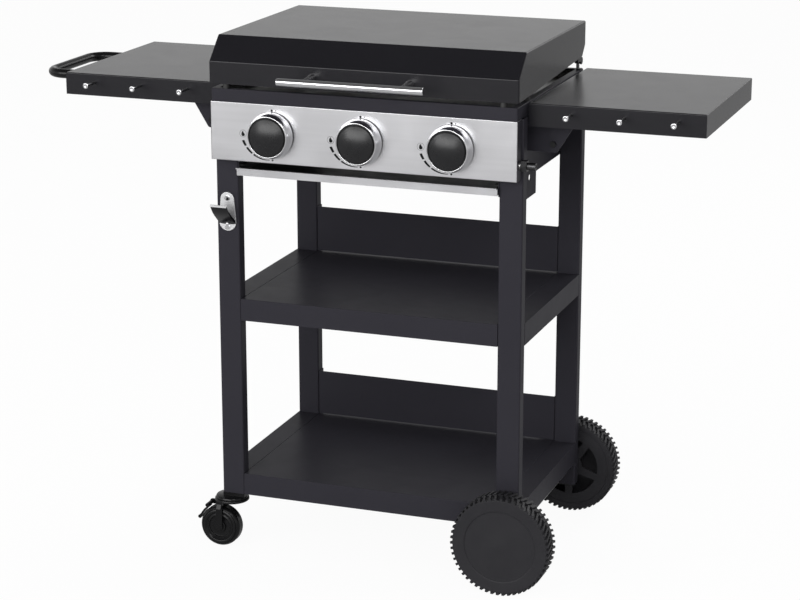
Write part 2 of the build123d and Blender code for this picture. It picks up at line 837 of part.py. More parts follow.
# Knobs: hollow tapered barrels that turn on the stems, recessed in front for their caps
with BuildPart() as knob:
    with Locations(seat_y(0, knob_back, knob_z, -1).location):
        Cone(knob_back_diameter / 2, knob_lip_diameter / 2, knob_length, align=upward)
    rod((0, knob_front, knob_z), (0, knob_web_front, knob_z), recess_diameter, Mode.SUBTRACT)
    rod((0, knob_back, knob_z), (0, knob_web_back, knob_z), recess_diameter, Mode.SUBTRACT)
    rod((0, knob_hub_back, knob_z), (0, knob_web_back, knob_z), knob_hub)
    rod((0, knob_hub_back, knob_z), (0, knob_bore_end, knob_z), stem_diameter + 2 * stem_fit, Mode.SUBTRACT)
for place, x in knob_places.items():
    piece = knob.part.moved(Location((x, 0, 0)))
    piece.label = f"knob_{place}"
    export_step(piece, f"parts/knob_{place}.step")

# Knob caps: domed discs set in the barrels
with BuildPart() as knob_cap:
    cap_tip = knob_front - cap_rise - cap_dome
    dome_radius = ((cap_diameter / 2) ** 2 + cap_dome**2) / (2 * cap_dome)
    rod((0, knob_web_front, knob_z), (0, cap_tip - cap_dome, knob_z), cap_diameter)
    with Locations((0, cap_tip + dome_radius, knob_z)):
        Sphere(dome_radius, mode=Mode.INTERSECT)
    fillet(knob_cap.edges().filter_by(GeomType.CIRCLE).sort_by(Axis.Y)[0], cap_edge)
for place, x in knob_places.items():
    piece = knob_cap.part.moved(Location((x, 0, 0)))
    piece.label = f"knob_cap_{place}"
    export_step(piece, f"parts/knob_cap_{place}.step")

# Control panel: a folded stainless box front that closes against the legs
with BuildPart() as control_panel:
    panel_foot = leg_top - panel_height
    block((-panel_half, panel_front, panel_foot), (panel_half, front_y, leg_top))
    fillet(control_panel.faces().sort_by(Axis.Y)[0].edges(), panel_bend)
    block(
        (panel_sheet - panel_half, panel_inner, panel_foot + panel_sheet),
        (panel_half - panel_sheet, front_y, leg_top - panel_sheet),
        Mode.SUBTRACT,
    )
    drill([seat_y(x, panel_front, knob_z, -1) for x in knob_places.values()], stem_hole, panel_sheet)
    drill(
        [seat_x(panel_half, manifold_y, manifold_z, 1)],
        manifold_diameter + 2 * manifold_hole_gap,
        panel_sheet,
    )
control_panel.part.label = "control_panel"
export_step(control_panel.part, "parts/control_panel.step")

# Lid: a folded hood, open below, with a sloping front panel and a cut-back heel
with BuildPart() as lid:
    with BuildSketch(Plane.YZ.offset(-lid_half)):
        with BuildLine():
            Polyline(
                (lid_front, lid_lip),
                (lid_front, lid_lip + lid_band),
                (lid_front + lid_slope_run, lid_top),
                (top_frame_back, lid_top),
                (top_frame_back, lid_pivot_z + lid_back_rise),
                (lid_pivot_y, lid_pivot_z + lid_heel),
                close=True,
            )
        make_face()
    extrude(amount=lid_width)
    open_face = lid.faces().sort_by(Axis.Z)[0]
    fillet(lid.edges() - open_face.edges(), lid_bend)
    offset(amount=-lid_sheet, openings=lid.faces().sort_by(Axis.Z)[0])
    block(
        (lid_sheet - lid_half, lid_front + lid_sheet, lid_lip),
        (lid_half - lid_sheet, lid_front + lid_hem, lid_lip + lid_sheet),
    )
lid.part.label = "lid"
export_step(lid.part, "parts/lid.step")

# Lid handle bar
bar_left = (-bar_length / 2, bar_y, bar_z)
bar_right = (bar_length / 2, bar_y, bar_z)
with BuildPart() as lid_handle:
    rod(bar_left, bar_right, bar_diameter)
    chamfer(lid_handle.edges().filter_by(GeomType.CIRCLE), bar_chamfer)
lid_handle.part.label = "lid_handle"
export_step(lid_handle.part, "parts/lid_handle.step")

# Handle posts: cones from the lid's front band, saddled to the bar
with BuildPart() as lid_posts:
    with Locations(
        seat_y(-post_spread, lid_front, bar_z, -1).location,
        seat_y(post_spread, lid_front, bar_z, -1).location,
    ):
        Cone(post_base / 2, post_tip / 2, bar_standoff, align=upward)
    rod(bar_left, bar_right, bar_diameter + 2 * saddle_gap, Mode.SUBTRACT)
lid_posts.part.label = "lid_handle_posts"
export_step(lid_posts.part, "parts/lid_handle_posts.step")

# Hinge arms: plates on the inner faces of the lid's side walls
arm_out_x = lid_half - lid_sheet
arm_in_x = arm_out_x - hinge_sheet
pivot = (lid_pivot_y, lid_pivot_z)
with BuildPart() as hinge_arms:
    for x_sign in sides.values():
        lug_in = (x_sign * arm_in_x, *pivot)
        lug_out = (x_sign * arm_out_x, *pivot)
        rod(lug_in, lug_out, 2 * hinge_lobe)
        block(
            (x_sign * arm_in_x, lid_pivot_y - hinge_arm_inset - hinge_arm_width, lid_pivot_z),
            (x_sign * arm_out_x, lid_pivot_y - hinge_arm_inset, lid_pivot_z + hinge_arm_height),
        )
        rod(lug_in, lug_out, hinge_pin + 2 * hinge_fit, Mode.SUBTRACT)
hinge_arms.part.label = "lid_hinge_arms"
export_step(hinge_arms.part, "parts/lid_hinge_arms.step")

# Hinge brackets: posts on the top frame's side flanges
bracket_in_x = top_frame_half - hinge_bracket_set - hinge_sheet
bracket_face_x = bracket_in_x + hinge_sheet
with BuildPart() as hinge_brackets:
    for x_sign in sides.values():
        lug_in = (x_sign * bracket_in_x, *pivot)
        lug_out = (x_sign * bracket_face_x, *pivot)
        rod(lug_in, lug_out, 2 * hinge_lobe)
        block(
            (x_sign * bracket_in_x, lid_pivot_y - hinge_lobe, top_frame_top),
            (x_sign * bracket_face_x, lid_pivot_y + hinge_lobe, lid_pivot_z),
        )
        block(
            (x_sign * bracket_in_x, lid_pivot_y - hinge_lobe, top_frame_top),
            (x_sign * top_frame_half, lid_pivot_y + hinge_lobe, top_frame_top + hinge_sheet),
        )
        rod(lug_in, lug_out, hinge_pin + 2 * saddle_gap, Mode.SUBTRACT)
hinge_brackets.part.label = "lid_hinge_brackets"
export_step(hinge_brackets.part, "parts/lid_hinge_brackets.step")

# Hinge pins: shouldered rivets through brackets and arms
with BuildPart() as hinge_pins:
    for x_sign in sides.values():
        head_x = x_sign * (bracket_in_x - hinge_head_length)
        tip_x = x_sign * (arm_out_x - hinge_gap)
        rod((head_x, *pivot), (tip_x, *pivot), hinge_pin)
        rod((head_x, *pivot), (x_sign * bracket_in_x, *pivot), hinge_shoulder)
        rod((x_sign * bracket_face_x, *pivot), (x_sign * (arm_in_x - hinge_gap), *pivot), hinge_shoulder)
hinge_pins.part.label = "lid_hinge_pins"
export_step(hinge_pins.part, "parts/lid_hinge_pins.step")

# Rubber bumpers on the top frame, two under the lid's hem and two at its sides
with BuildPart() as lid_bumpers:
    front_row = top_frame_front + top_frame_flange / 2
    side_row = top_frame_front + side_bumper_y
    side_line = top_frame_half - top_frame_flange / 2
    with Locations(
        (-front_bumper_x, front_row, top_frame_top),
        (front_bumper_x, front_row, top_frame_top),
        (-side_line, side_row, top_frame_top),
        (side_line, side_row, top_frame_top),
    ):
        Cylinder(bumper_diameter / 2, lid_gap - bumper_relief, align=upward)
lid_bumpers.part.label = "lid_bumpers"
export_step(lid_bumpers.part, "parts/lid_bumpers.step")

# Side shelves: folded tops with aprons on their three free sides
hook_seats = {
    side: [
        seat_y(x_sign * (hook_middles[side] + step * hook_pitch), side_shelf_front, hook_z, -1)
        for step in (-1, 0, 1)
    ]
    for side, x_sign in sides.items()
}
handle_half = handle_span / 2
handle_arms = [side_shelf_mid_y - handle_half, side_shelf_mid_y + handle_half]
for side, x_sign in sides.items():
    shelf_back = side_shelf_front + side_shelf_depth
    shelf_foot = side_shelf_top - side_shelf_apron
    with BuildPart() as side_shelf:
        block(
            (x_sign * side_shelf_in, side_shelf_front, shelf_foot),
            (x_sign * side_shelf_out, shelf_back, side_shelf_top),
        )
        fillet(side_shelf.edges().group_by(Axis.Z)[-1], side_shelf_bend)
        block(
            (x_sign * side_shelf_in, side_shelf_front + side_shelf_sheet, shelf_foot),
            (x_sign * (side_shelf_out - side_shelf_sheet), shelf_back - side_shelf_sheet, side_shelf_under),
            Mode.SUBTRACT,
        )
        drill(hook_seats[side], hook_rod + 2 * hook_fit, side_shelf_sheet)
        if side == "left":
            handle_seats = [seat_x(-side_shelf_out, y, handle_z, -1) for y in handle_arms]
            drill(handle_seats, handle_diameter + 2 * handle_fit, side_shelf_sheet)
    side_shelf.part.label = f"side_shelf_{side}"
    export_step(side_shelf.part, f"parts/side_shelf_{side}.step")

# Shelf arms: plates that stand out from the side plates, flanged for their bolts
with BuildPart() as shelf_arms:
    for x_sign, y_sign, arm_y in arm_places.values():
        web_back = arm_y - y_sign * arm_sheet
        flange_back = arm_y - y_sign * arm_flange
        block((x_sign * inner_x, arm_y, gusset_foot), (x_sign * arm_end, web_back, leg_top))
        block((x_sign * side_shelf_in, arm_y, leg_top), (x_sign * arm_end, web_back, side_shelf_under))
        block((x_sign * inner_x, arm_y, gusset_foot), (x_sign * (inner_x + arm_sheet), flange_back, leg_top))
        block(
            (x_sign * side_shelf_in, arm_y, side_shelf_under - arm_sheet),
            (x_sign * arm_end, flange_back, side_shelf_under),
        )
    drill(flange_seats, bolt_hole, bracket_bolt_reach)
    drill(lap_seats, bolt_hole, bracket_bolt_reach)
shelf_arms.part.label = "shelf_arms"
export_step(shelf_arms.part, "parts/shelf_arms.step")

# Gussets: sloping plates under the side shelves, bolted to the arms
with BuildPart() as shelf_gussets:
    for x_sign, y_sign, arm_y in arm_places.values():
        with BuildSketch(seat_y(0, arm_y, 0, y_sign)):
            with BuildLine():
                Polyline(
                    (x_sign * gusset_in, -y_sign * gusset_foot),
                    (x_sign * arm_end, -y_sign * gusset_foot),
                    (x_sign * gusset_tip, -y_sign * side_shelf_under),
                    (x_sign * gusset_in, -y_sign * side_shelf_under),
                    close=True,
                )
            make_face()
            toe = vertices().sort_by(SortBy.DISTANCE)[1]
            fillet(toe, gusset_corner)
        extrude(amount=gusset_sheet)
    drill(lap_seats, bolt_hole, gusset_sheet)
shelf_gussets.part.label = "shelf_gussets"
export_step(shelf_gussets.part, "parts/shelf_gussets.step")

# Bolts of the arms and gussets, all of one kind
with BuildPart() as bracket_bolts:
    with BuildSketch(*flange_seats, *lap_seats):
        RegularPolygon(bolt_head / 2, bolt_flats, major_radius=False)
    extrude(amount=bolt_head_height)
    with BuildSketch(*flange_seats, *lap_seats):
        Circle(bolt_diameter / 2)
    extrude(amount=-bracket_bolt_reach)
bracket_bolts.part.label = "bracket_bolts"
export_step(bracket_bolts.part, "parts/bracket_bolts.step")

# Tool hooks: headed pins through the front aprons
with BuildPart() as tool_hooks:
    for seat in [seat for seats in hook_seats.values() for seat in seats]:
        with Locations(seat.location):
            Cylinder(hook_rod / 2, hook_reach, align=upward)
            Cylinder(hook_rod / 2, hook_tail, align=downward)
        with Locations(seat.offset(hook_reach).location):
            Cylinder(hook_head / 2, hook_head_length, align=upward)
tool_hooks.part.label = "tool_hooks"
export_step(tool_hooks.part, "parts/tool_hooks.step")

# Push handle: a bent tube through the left shelf's end apron
with BuildPart() as push_handle:
    handle_root = handle_tail - side_shelf_out
    handle_outer = -side_shelf_out - handle_reach
    with BuildLine() as handle_path:
        FilletPolyline(
            (handle_root, handle_arms[0], handle_z),
            (handle_outer, handle_arms[0], handle_z),
            (handle_outer, handle_arms[1], handle_z),
            (handle_root, handle_arms[1], handle_z),
            radius=handle_bend,
        )
    with BuildSketch(seat_x(handle_root, handle_arms[0], handle_z, -1)):
        Circle(handle_diameter / 2)
        Circle(handle_diameter / 2 - handle_wall, mode=Mode.SUBTRACT)
    sweep(path=handle_path.line)
push_handle.part.label = "push_handle"
export_step(push_handle.part, "parts/push_handle.step")

# Bottle opener: an egg-shaped back plate with a scoop standing out of it
with BuildPart() as bottle_opener:
    opener_face = front_y - opener_sheet
    mouth_rim = opener_face - opener_mouth_reach
    mouth_low = opener_foot + opener_mouth_low
    mouth_high = mouth_low + opener_mouth_rise
    with BuildSketch(seat_y(opener_x, front_y, 0, -1)):
        with Locations((0, opener_top - opener_crown / 2)):
            Circle(opener_crown / 2)
        with Locations((0, opener_foot + opener_width / 2)):
            Circle(opener_width / 2)
        make_hull()
    extrude(amount=opener_sheet)
    with BuildSketch(Plane.YZ.offset(opener_x - opener_mouth_width / 2)):
        with BuildLine():
            Polyline(
                (opener_face, mouth_low),
                (mouth_rim, mouth_high),
                (mouth_rim, mouth_high - opener_sheet),
                (opener_face, mouth_low - 2 * opener_sheet),
                close=True,
            )
        make_face()
    extrude(amount=opener_mouth_width)
    block(
        (opener_x - opener_tooth, opener_face, mouth_low - opener_sheet),
        (opener_x + opener_tooth, opener_face - opener_tooth, mouth_low + 2 * opener_tooth),
    )
    drill(opener_seats, opener_screw + 2 * bolt_slack, opener_sheet)
bottle_opener.part.label = "bottle_opener"
export_step(bottle_opener.part, "parts/bottle_opener.step")

# Screws of the bottle opener
with BuildPart() as opener_screws:
    for seat in opener_seats:
        with Locations(seat.location):
            Cylinder(opener_screw_head / 2, opener_screw_head_height, align=upward)
            Cylinder(opener_screw / 2, opener_screw_reach, align=downward)
opener_screws.part.label = "opener_screws"
export_step(opener_screws.part, "parts/opener_screws.step")

# Axle along the right-hand legs, blind in both wheels
axle_tip = wheel_start + wheel_width - axle_blind
with BuildPart() as axle:
    rod((axle_x, -axle_tip, axle_height), (axle_x, axle_tip, axle_height), axle_diameter)
axle.part.label = "axle"
export_step(axle.part, "parts/axle.step")

# Spacers on the axle between the legs and the wheel hubs
with BuildPart() as axle_spacers:
    for y_sign in rows.values():
        spacer_in = (axle_x, y_sign * rear_y, axle_height)
        spacer_out = (axle_x, y_sign * (wheel_start - spacer_play), axle_height)
        rod(spacer_in, spacer_out, spacer_diameter)
        rod(spacer_in, spacer_out, axle_diameter + 2 * axle_fit, Mode.SUBTRACT)
axle_spacers.part.label = "axle_spacers"
export_step(axle_spacers.part, "parts/axle_spacers.step")

# Road wheels: lugged rims with a closed dished face outside and five windows inside
row_width = (wheel_width - 2 * wheel_side_relief - lug_row_gap) / 2
tread_radius = wheel_diameter / 2 - lug_height
rim_inner = tread_radius - rim_thickness
half_turn = 180.0
lug_turn = half_turn / lug_count
for row, y_sign in rows.items():
    hub_face = seat_y(axle_x, y_sign * wheel_start, axle_height, y_sign)
    with BuildPart() as road_wheel:
        with BuildSketch(hub_face.offset(wheel_side_relief)):
            Circle(tread_radius)
        extrude(amount=wheel_width - 2 * wheel_side_relief)
        for index in range(2):
            lug_start = wheel_side_relief + index * (row_width + lug_row_gap)
            with BuildSketch(hub_face.offset(lug_start)):
                with PolarLocations(tread_radius, lug_count, start_angle=index * lug_turn):
                    Rectangle(2 * lug_height, lug_width)
            extrude(amount=row_width)
        with BuildSketch(hub_face.offset(wheel_inner_web_set + wheel_web)):
            Circle(rim_inner)
            Circle(wheel_hub / 2, mode=Mode.SUBTRACT)
        solid_depth = wheel_inner_web_set + 2 * wheel_web + wheel_dish_depth + wheel_side_relief
        extrude(amount=wheel_width - solid_depth, mode=Mode.SUBTRACT)
        with BuildSketch(hub_face):
            Circle(rim_inner)
            Circle(wheel_hub / 2, mode=Mode.SUBTRACT)
        extrude(amount=wheel_inner_web_set, mode=Mode.SUBTRACT)
        with BuildSketch(hub_face):
            Circle(wheel_hub / 2)
        extrude(amount=wheel_inner_web_set + wheel_web)
        with BuildSketch(hub_face):
            Circle(window_outer)
            Circle(window_inner, mode=Mode.SUBTRACT)
            with PolarLocations(window_outer / 2, window_count, start_angle=first_spoke):
                Rectangle(window_outer, window_spoke, mode=Mode.SUBTRACT)
        extrude(amount=wheel_inner_web_set + wheel_web, mode=Mode.SUBTRACT)
        with BuildSketch(hub_face.offset(wheel_width - wheel_side_relief)):
            Circle(wheel_dish_diameter / 2)
        extrude(amount=-wheel_dish_depth, taper=wheel_dish_slope, mode=Mode.SUBTRACT)
        with BuildSketch(hub_face):
            Circle(axle_diameter / 2 + axle_fit)
        extrude(amount=wheel_width - axle_blind + axle_fit, mode=Mode.SUBTRACT)
    road_wheel.part.label = f"road_wheel_{row}"
    export_step(road_wheel.part, f"parts/road_wheel_{row}.step")

# Leg plugs: caps in the feet of all four legs, the left-hand pair bored for the caster stems
with BuildPart() as leg_plugs:
    plug_width = leg_width - 2 * (leg_wall + plug_slack)
    plug_depth = leg_depth - 2 * (leg_wall + plug_slack)
    for y_sign in rows.values():
        with Locations((-leg_x, y_sign * leg_y, caster_leg_foot)):
            Box(leg_width, leg_depth, socket_flange, align=downward)
            Box(plug_width, plug_depth, socket_plug, align=upward)
        with Locations((leg_x, y_sign * leg_y, wheel_leg_foot)):
            Box(leg_width, leg_depth, cap_flange, align=downward)
            Box(plug_width, plug_depth, cap_plug, align=upward)
        rod(
            (-leg_x, y_sign * leg_y, caster_leg_foot - socket_flange),
            (-leg_x, y_sign * leg_y, caster_leg_foot + socket_plug),
            caster_stem + 2 * caster_stem_fit,
            Mode.SUBTRACT,
        )
leg_plugs.part.label = "leg_plugs"
export_step(leg_plugs.part, "parts/leg_plugs.step")

# Caster forks: round hoods with two arms, an axle pin, a tail with the brake pin, and a swivel stem
hood_foot = caster_top - fork_hood_height
arm_x = caster_x + fork_arm_set
brake_x = caster_x - brake_pivot_back
brake_z = caster_axle_z + brake_pivot_rise
with BuildPart() as fork:
    with Locations((-leg_x - fork_hood_set, -leg_y, hood_foot)):
        Cylinder(fork_hood / 2, fork_hood_height, align=upward)
    fillet(fork.edges().filter_by(GeomType.CIRCLE).sort_by(Axis.Z)[-1], fork_hood_round)
    for y_sign in (-1, 1):
        cheek_in = -leg_y + y_sign * fork_inner
        cheek_out = -leg_y + y_sign * fork_outer
        rod((caster_x, cheek_in, caster_axle_z), (caster_x, cheek_out, caster_axle_z), fork_axle_boss)
        block(
            (arm_x - fork_arm / 2, cheek_in, caster_axle_z),
            (arm_x + fork_arm / 2, cheek_out, hood_foot + fork_hood_round),
        )
    block(
        (brake_x - fork_tail, -leg_y + fork_inner, brake_z - fork_tail_depth / 2),
        (arm_x, -leg_y + fork_outer, brake_z + fork_tail_depth / 2),
    )
    pin_high = -leg_y + fork_outer
    rod((caster_x, -leg_y - fork_outer, caster_axle_z), (caster_x, pin_high, caster_axle_z), caster_pin)
    brake_pin_low = -leg_y - brake_width / 2 - brake_pin_end
    rod((brake_x, brake_pin_low, brake_z), (brake_x, pin_high, brake_z), brake_pin)
    rod((-leg_x, -leg_y, hood_foot), (-leg_x, -leg_y, caster_leg_foot + caster_stem_length), caster_stem)

# Caster wheels: rounded tyres with dished sides
with BuildPart() as caster_wheel:
    wheel_low = (caster_x, -leg_y - caster_wheel_width / 2, caster_axle_z)
    wheel_high = (caster_x, -leg_y + caster_wheel_width / 2, caster_axle_z)
    rod(wheel_low, wheel_high, caster_wheel_diameter)
    fillet(caster_wheel.edges().filter_by(GeomType.CIRCLE), caster_tyre_round)
    for y_sign in (-1, 1):
        face_y = -leg_y + y_sign * caster_wheel_width / 2
        dish_start = (caster_x, face_y, caster_axle_z)
        dish_end = (caster_x, face_y - y_sign * caster_dish_depth, caster_axle_z)
        rod(dish_start, dish_end, caster_dish, Mode.SUBTRACT)
        rod(dish_start, dish_end, caster_hub)
    rod(wheel_low, wheel_high, caster_pin + 2 * caster_pin_fit, Mode.SUBTRACT)

# Caster brakes: curved pedals behind the wheels, hung on the brake pins, with a round toe bar
with BuildPart() as brake:
    pedal_low = -leg_y - brake_width / 2
    pedal_high = -leg_y + brake_width / 2
    pedal_inside = caster_wheel_diameter / 2 + brake_gap
    with BuildSketch(seat_y(caster_x, pedal_high, caster_axle_z, -1)):
        with BuildLine():
            inner_arc = CenterArc((0, 0), pedal_inside, brake_start, brake_sweep)
            outer_arc = CenterArc((0, 0), pedal_inside + brake_sheet, brake_start, brake_sweep)
            Line(inner_arc @ 0, outer_arc @ 0)
            Line(inner_arc @ 1, outer_arc @ 1)
        make_face()
    extrude(amount=brake_width)
    toe_run = Vector(pedal_inside + brake_toe / 2, 0, 0).rotate(Axis.Y, -brake_start - brake_sweep)
    toe_low = (caster_x + toe_run.X, pedal_low, caster_axle_z + toe_run.Z)
    toe_high = (caster_x + toe_run.X, pedal_high, caster_axle_z + toe_run.Z)
    rod(toe_low, toe_high, brake_toe)
    boss_low = (brake_x, pedal_low, brake_z)
    boss_high = (brake_x, pedal_high, brake_z)
    rod(boss_low, boss_high, brake_boss)
    rod(boss_low, boss_high, brake_pin + 2 * brake_pin_fit, Mode.SUBTRACT)

# The front caster is repeated under the rear left leg
caster_pieces = {"caster_fork": fork.part, "caster_wheel": caster_wheel.part, "caster_brake": brake.part}
for row, shift in {"front": 0.0, "rear": 2 * leg_y}.items():
    for name, shape in caster_pieces.items():
        piece = shape.moved(Location((0, shift, 0)))
        piece.label = f"{name}_{row}"
        export_step(piece, f"parts/{name}_{row}.step")
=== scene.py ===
"""Looks of a gas griddle on a wheeled cart: finishes, turned fittings, dial print, light and camera."""
from __future__ import annotations

import logging
import math
from abc import ABC, abstractmethod
from dataclasses import dataclass
from enum import Enum

import bmesh
import bpy
import numpy as np
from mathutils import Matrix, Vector

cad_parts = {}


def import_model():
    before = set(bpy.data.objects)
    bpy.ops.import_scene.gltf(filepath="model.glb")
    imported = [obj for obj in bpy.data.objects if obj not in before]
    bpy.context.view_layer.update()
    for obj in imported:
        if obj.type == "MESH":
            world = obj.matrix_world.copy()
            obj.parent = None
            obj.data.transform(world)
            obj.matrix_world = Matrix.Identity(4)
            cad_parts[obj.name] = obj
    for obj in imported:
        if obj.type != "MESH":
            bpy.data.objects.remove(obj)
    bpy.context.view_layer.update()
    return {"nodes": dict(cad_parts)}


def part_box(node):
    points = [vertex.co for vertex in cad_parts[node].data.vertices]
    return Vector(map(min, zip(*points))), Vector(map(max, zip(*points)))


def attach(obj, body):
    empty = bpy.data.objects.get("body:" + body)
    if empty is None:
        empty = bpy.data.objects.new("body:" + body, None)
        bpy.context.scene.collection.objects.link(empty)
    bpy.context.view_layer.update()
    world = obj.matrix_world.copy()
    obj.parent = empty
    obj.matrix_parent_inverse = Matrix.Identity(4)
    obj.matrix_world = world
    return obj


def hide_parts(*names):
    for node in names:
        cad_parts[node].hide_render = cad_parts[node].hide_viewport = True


LOG = logging.getLogger("griddle")
KNOB_PLACES = ("left", "middle", "right")
MM = 0.001
MERGE = 0.000001
SHARP_ANGLE = 32
WHITE = (1.0, 1.0, 1.0, 1.0)
Colour = tuple[float, float, float]
Place = tuple[float, float, float]
Point = tuple[float, float] | np.ndarray
Line = tuple[tuple[float, float], ...]


class Way(Enum):
    """Directions that a turned piece can point in."""

    RIGHT = (1.0, 0.0, 0.0)
    FORWARD = (0.0, -1.0, 0.0)
    BACK = (0.0, 1.0, 0.0)
    UP = (0.0, 0.0, 1.0)


class Corner(Enum):
    """Corners of a profile that can be rounded, by the start angle of the quarter circle there."""

    OUTER_FAR = 0
    INNER_FAR = 90
    INNER_NEAR = 180
    OUTER_NEAR = 270


class Graph:
    """A node tree with short calls that add and join its nodes."""

    def __init__(self, tree: bpy.types.NodeTree) -> None:
        """Take a tree and empty it.

        Args:
            tree: The node tree of a material, a world or a node group.
        """
        self.tree = tree
        tree.nodes.clear()

    def add(self, kind: str, inputs: dict | None = None, **settings: object) -> bpy.types.Node:
        """Add a node.

        Args:
            kind: Blender's name of the node type.
            inputs: Values or output sockets for the node's inputs, by name or number.
            settings: Other properties of the node.

        Returns:
            The new node.
        """
        node = self.tree.nodes.new(kind)
        for name, value in settings.items():
            setattr(node, name, value)
        for key, value in (inputs or {}).items():
            socket = node.inputs[key]
            if isinstance(value, bpy.types.NodeSocket):
                self.tree.links.new(value, socket)
            else:
                socket.default_value = value
        return node

    def math(self, operation: str, first: object, second: object) -> bpy.types.NodeSocket:
        """Join two values by arithmetic.

        Args:
            operation: The operation of a Math node.
            first: A number or an output socket.
            second: A number or an output socket.

        Returns:
            The socket that holds the result.
        """
        return self.add("ShaderNodeMath", {0: first, 1: second}, operation=operation).outputs[0]

    def blend(self, factor: object, low: Colour, high: Colour) -> bpy.types.NodeSocket:
        """Fade between two colours.

        Args:
            factor: A mask socket, 0 for the low colour and 1 for the high one.
            low: Linear colour at 0.
            high: Linear colour at 1.

        Returns:
            The socket that holds the colour.
        """
        inputs = {0: factor, 6: (*low, 1.0), 7: (*high, 1.0)}
        return self.add("ShaderNodeMix", inputs, data_type="RGBA").outputs[2]

    def spread(self, mask: object, low: float, high: object) -> bpy.types.NodeSocket:
        """Stretch a mask of 0 to 1 over another range.

        Args:
            mask: The mask's socket.
            low: Value at 0.
            high: Value or socket at 1.

        Returns:
            The socket that holds the value.
        """
        return self.add("ShaderNodeMapRange", {"Value": mask, "To Min": low, "To Max": high}).outputs[0]

    def bump(self, height: bpy.types.NodeSocket, depth: float, strength: float) -> bpy.types.NodeSocket:
        """Turn a height mask into a normal.

        Args:
            height: Socket of the height mask.
            depth: Depth of the relief in metres.
            strength: Share of the relief that shows.

        Returns:
            The normal's socket.
        """
        inputs = {"Height": height, "Distance": depth, "Strength": strength}
        return self.add("ShaderNodeBump", inputs).outputs[0]

    def effect(self, group: bpy.types.NodeTree, place: bpy.types.NodeSocket,
               **values: float) -> bpy.types.NodeOutputs:
        """Lay a shared effect on object coordinates.

        Args:
            group: The effect's shader group.
            place: Socket of the object coordinates.
            values: Numbers that the effect takes, by input name.

        Returns:
            The effect's masks, by name.
        """
        return self.add("ShaderNodeGroup", {"Vector": place, **values}, node_tree=group).outputs


class Effects:
    """Shader groups that several finishes share."""

    BAND_STRETCH = (0.6, 0.07, 0.07)

    def __init__(self) -> None:
        """Build each group once."""
        self.pebble = self._pebble()
        self.drawn = self._drawn()
        self.film = self._film()

    @staticmethod
    def _group(name: str, numbers: dict[str, float], outputs: tuple[str, ...]) -> tuple[Graph, bpy.types.Node]:
        """Start a group that takes object coordinates and numbers.

        Args:
            name: The group's name.
            numbers: Default of each number that it takes.
            outputs: Names of the masks that it gives.

        Returns:
            The group's graph and its input node.
        """
        tree = bpy.data.node_groups.new(name, "ShaderNodeTree")
        tree.interface.new_socket("Vector", in_out="INPUT", socket_type="NodeSocketVector")
        for key, value in numbers.items():
            socket = tree.interface.new_socket(key, in_out="INPUT", socket_type="NodeSocketFloat")
            socket.default_value = value
        for key in outputs:
            tree.interface.new_socket(key, in_out="OUTPUT", socket_type="NodeSocketFloat")
        graph = Graph(tree)
        return graph, graph.add("NodeGroupInput")

    def _pebble(self) -> bpy.types.NodeTree:
        """Fine rounded grain of a baked or moulded skin, with a slow mottle across it.

        Returns:
            The group: Height is the grain, Mottle the slow change.
        """
        graph, given = self._group("pebble_skin", {"Scale": 900.0, "Patch": 5.0}, ("Height", "Mottle"))
        fine = graph.add("ShaderNodeTexNoise", {"Vector": given.outputs[0], "Scale": given.outputs[1],
                                                "Detail": 2.0, "Roughness": 0.55})
        slow = graph.add("ShaderNodeTexNoise", {"Vector": given.outputs[0], "Scale": given.outputs[2],
                                                "Detail": 4.0, "Roughness": 0.6})
        mottle = graph.add("ShaderNodeMapRange", {"Value": slow.outputs[0], "From Min": 0.3, "From Max": 0.7})
        graph.add("NodeGroupOutput", {0: fine.outputs[0], 1: mottle.outputs[0]})
        return graph.tree

    def _drawn(self) -> bpy.types.NodeTree:
        """Fine lines along X, as left by a brushing belt.

        Returns:
            The group: Lines is the mask of the lines, Tone a wider banding of them.
        """
        graph, given = self._group("drawn_lines", {"Along": 6.0, "Across": 1600.0}, ("Lines", "Tone"))
        apart = graph.add("ShaderNodeSeparateXYZ", {0: given.outputs[0]})
        along = graph.math("MULTIPLY", apart.outputs[0], given.outputs[1])
        depth = graph.math("MULTIPLY", apart.outputs[1], given.outputs[2])
        across = graph.math("MULTIPLY", apart.outputs[2], given.outputs[2])
        place = graph.add("ShaderNodeCombineXYZ", {0: along, 1: depth, 2: across})
        lines = graph.add("ShaderNodeTexNoise", {"Vector": place.outputs[0], "Scale": 1.0, "Detail": 3.0})
        wide = graph.add("ShaderNodeVectorMath", {0: place.outputs[0], 1: self.BAND_STRETCH}, operation="MULTIPLY")
        tone = graph.add("ShaderNodeTexNoise", {"Vector": wide.outputs[0], "Scale": 1.0, "Detail": 2.0})
        graph.add("NodeGroupOutput", {0: lines.outputs[0], 1: tone.outputs[0]})
        return graph.tree

    def _film(self) -> bpy.types.NodeTree:
        """Faint cloudy film of handling on a smooth surface.

        Returns:
            The group: Film is the cloud's mask.
        """
        graph, given = self._group("handling_film", {"Scale": 14.0}, ("Film",))
        bent = graph.add("ShaderNodeTexNoise", {"Vector": given.outputs[0], "Scale": given.outputs[1],
                                                "Detail": 5.0, "Roughness": 0.62, "Distortion": 0.8})
        film = graph.add("ShaderNodeMapRange", {"Value": bent.outputs[0], "From Min": 0.35, "From Max": 0.75})
        graph.add("NodeGroupOutput", {0: film.outputs[0]})
        return graph.tree


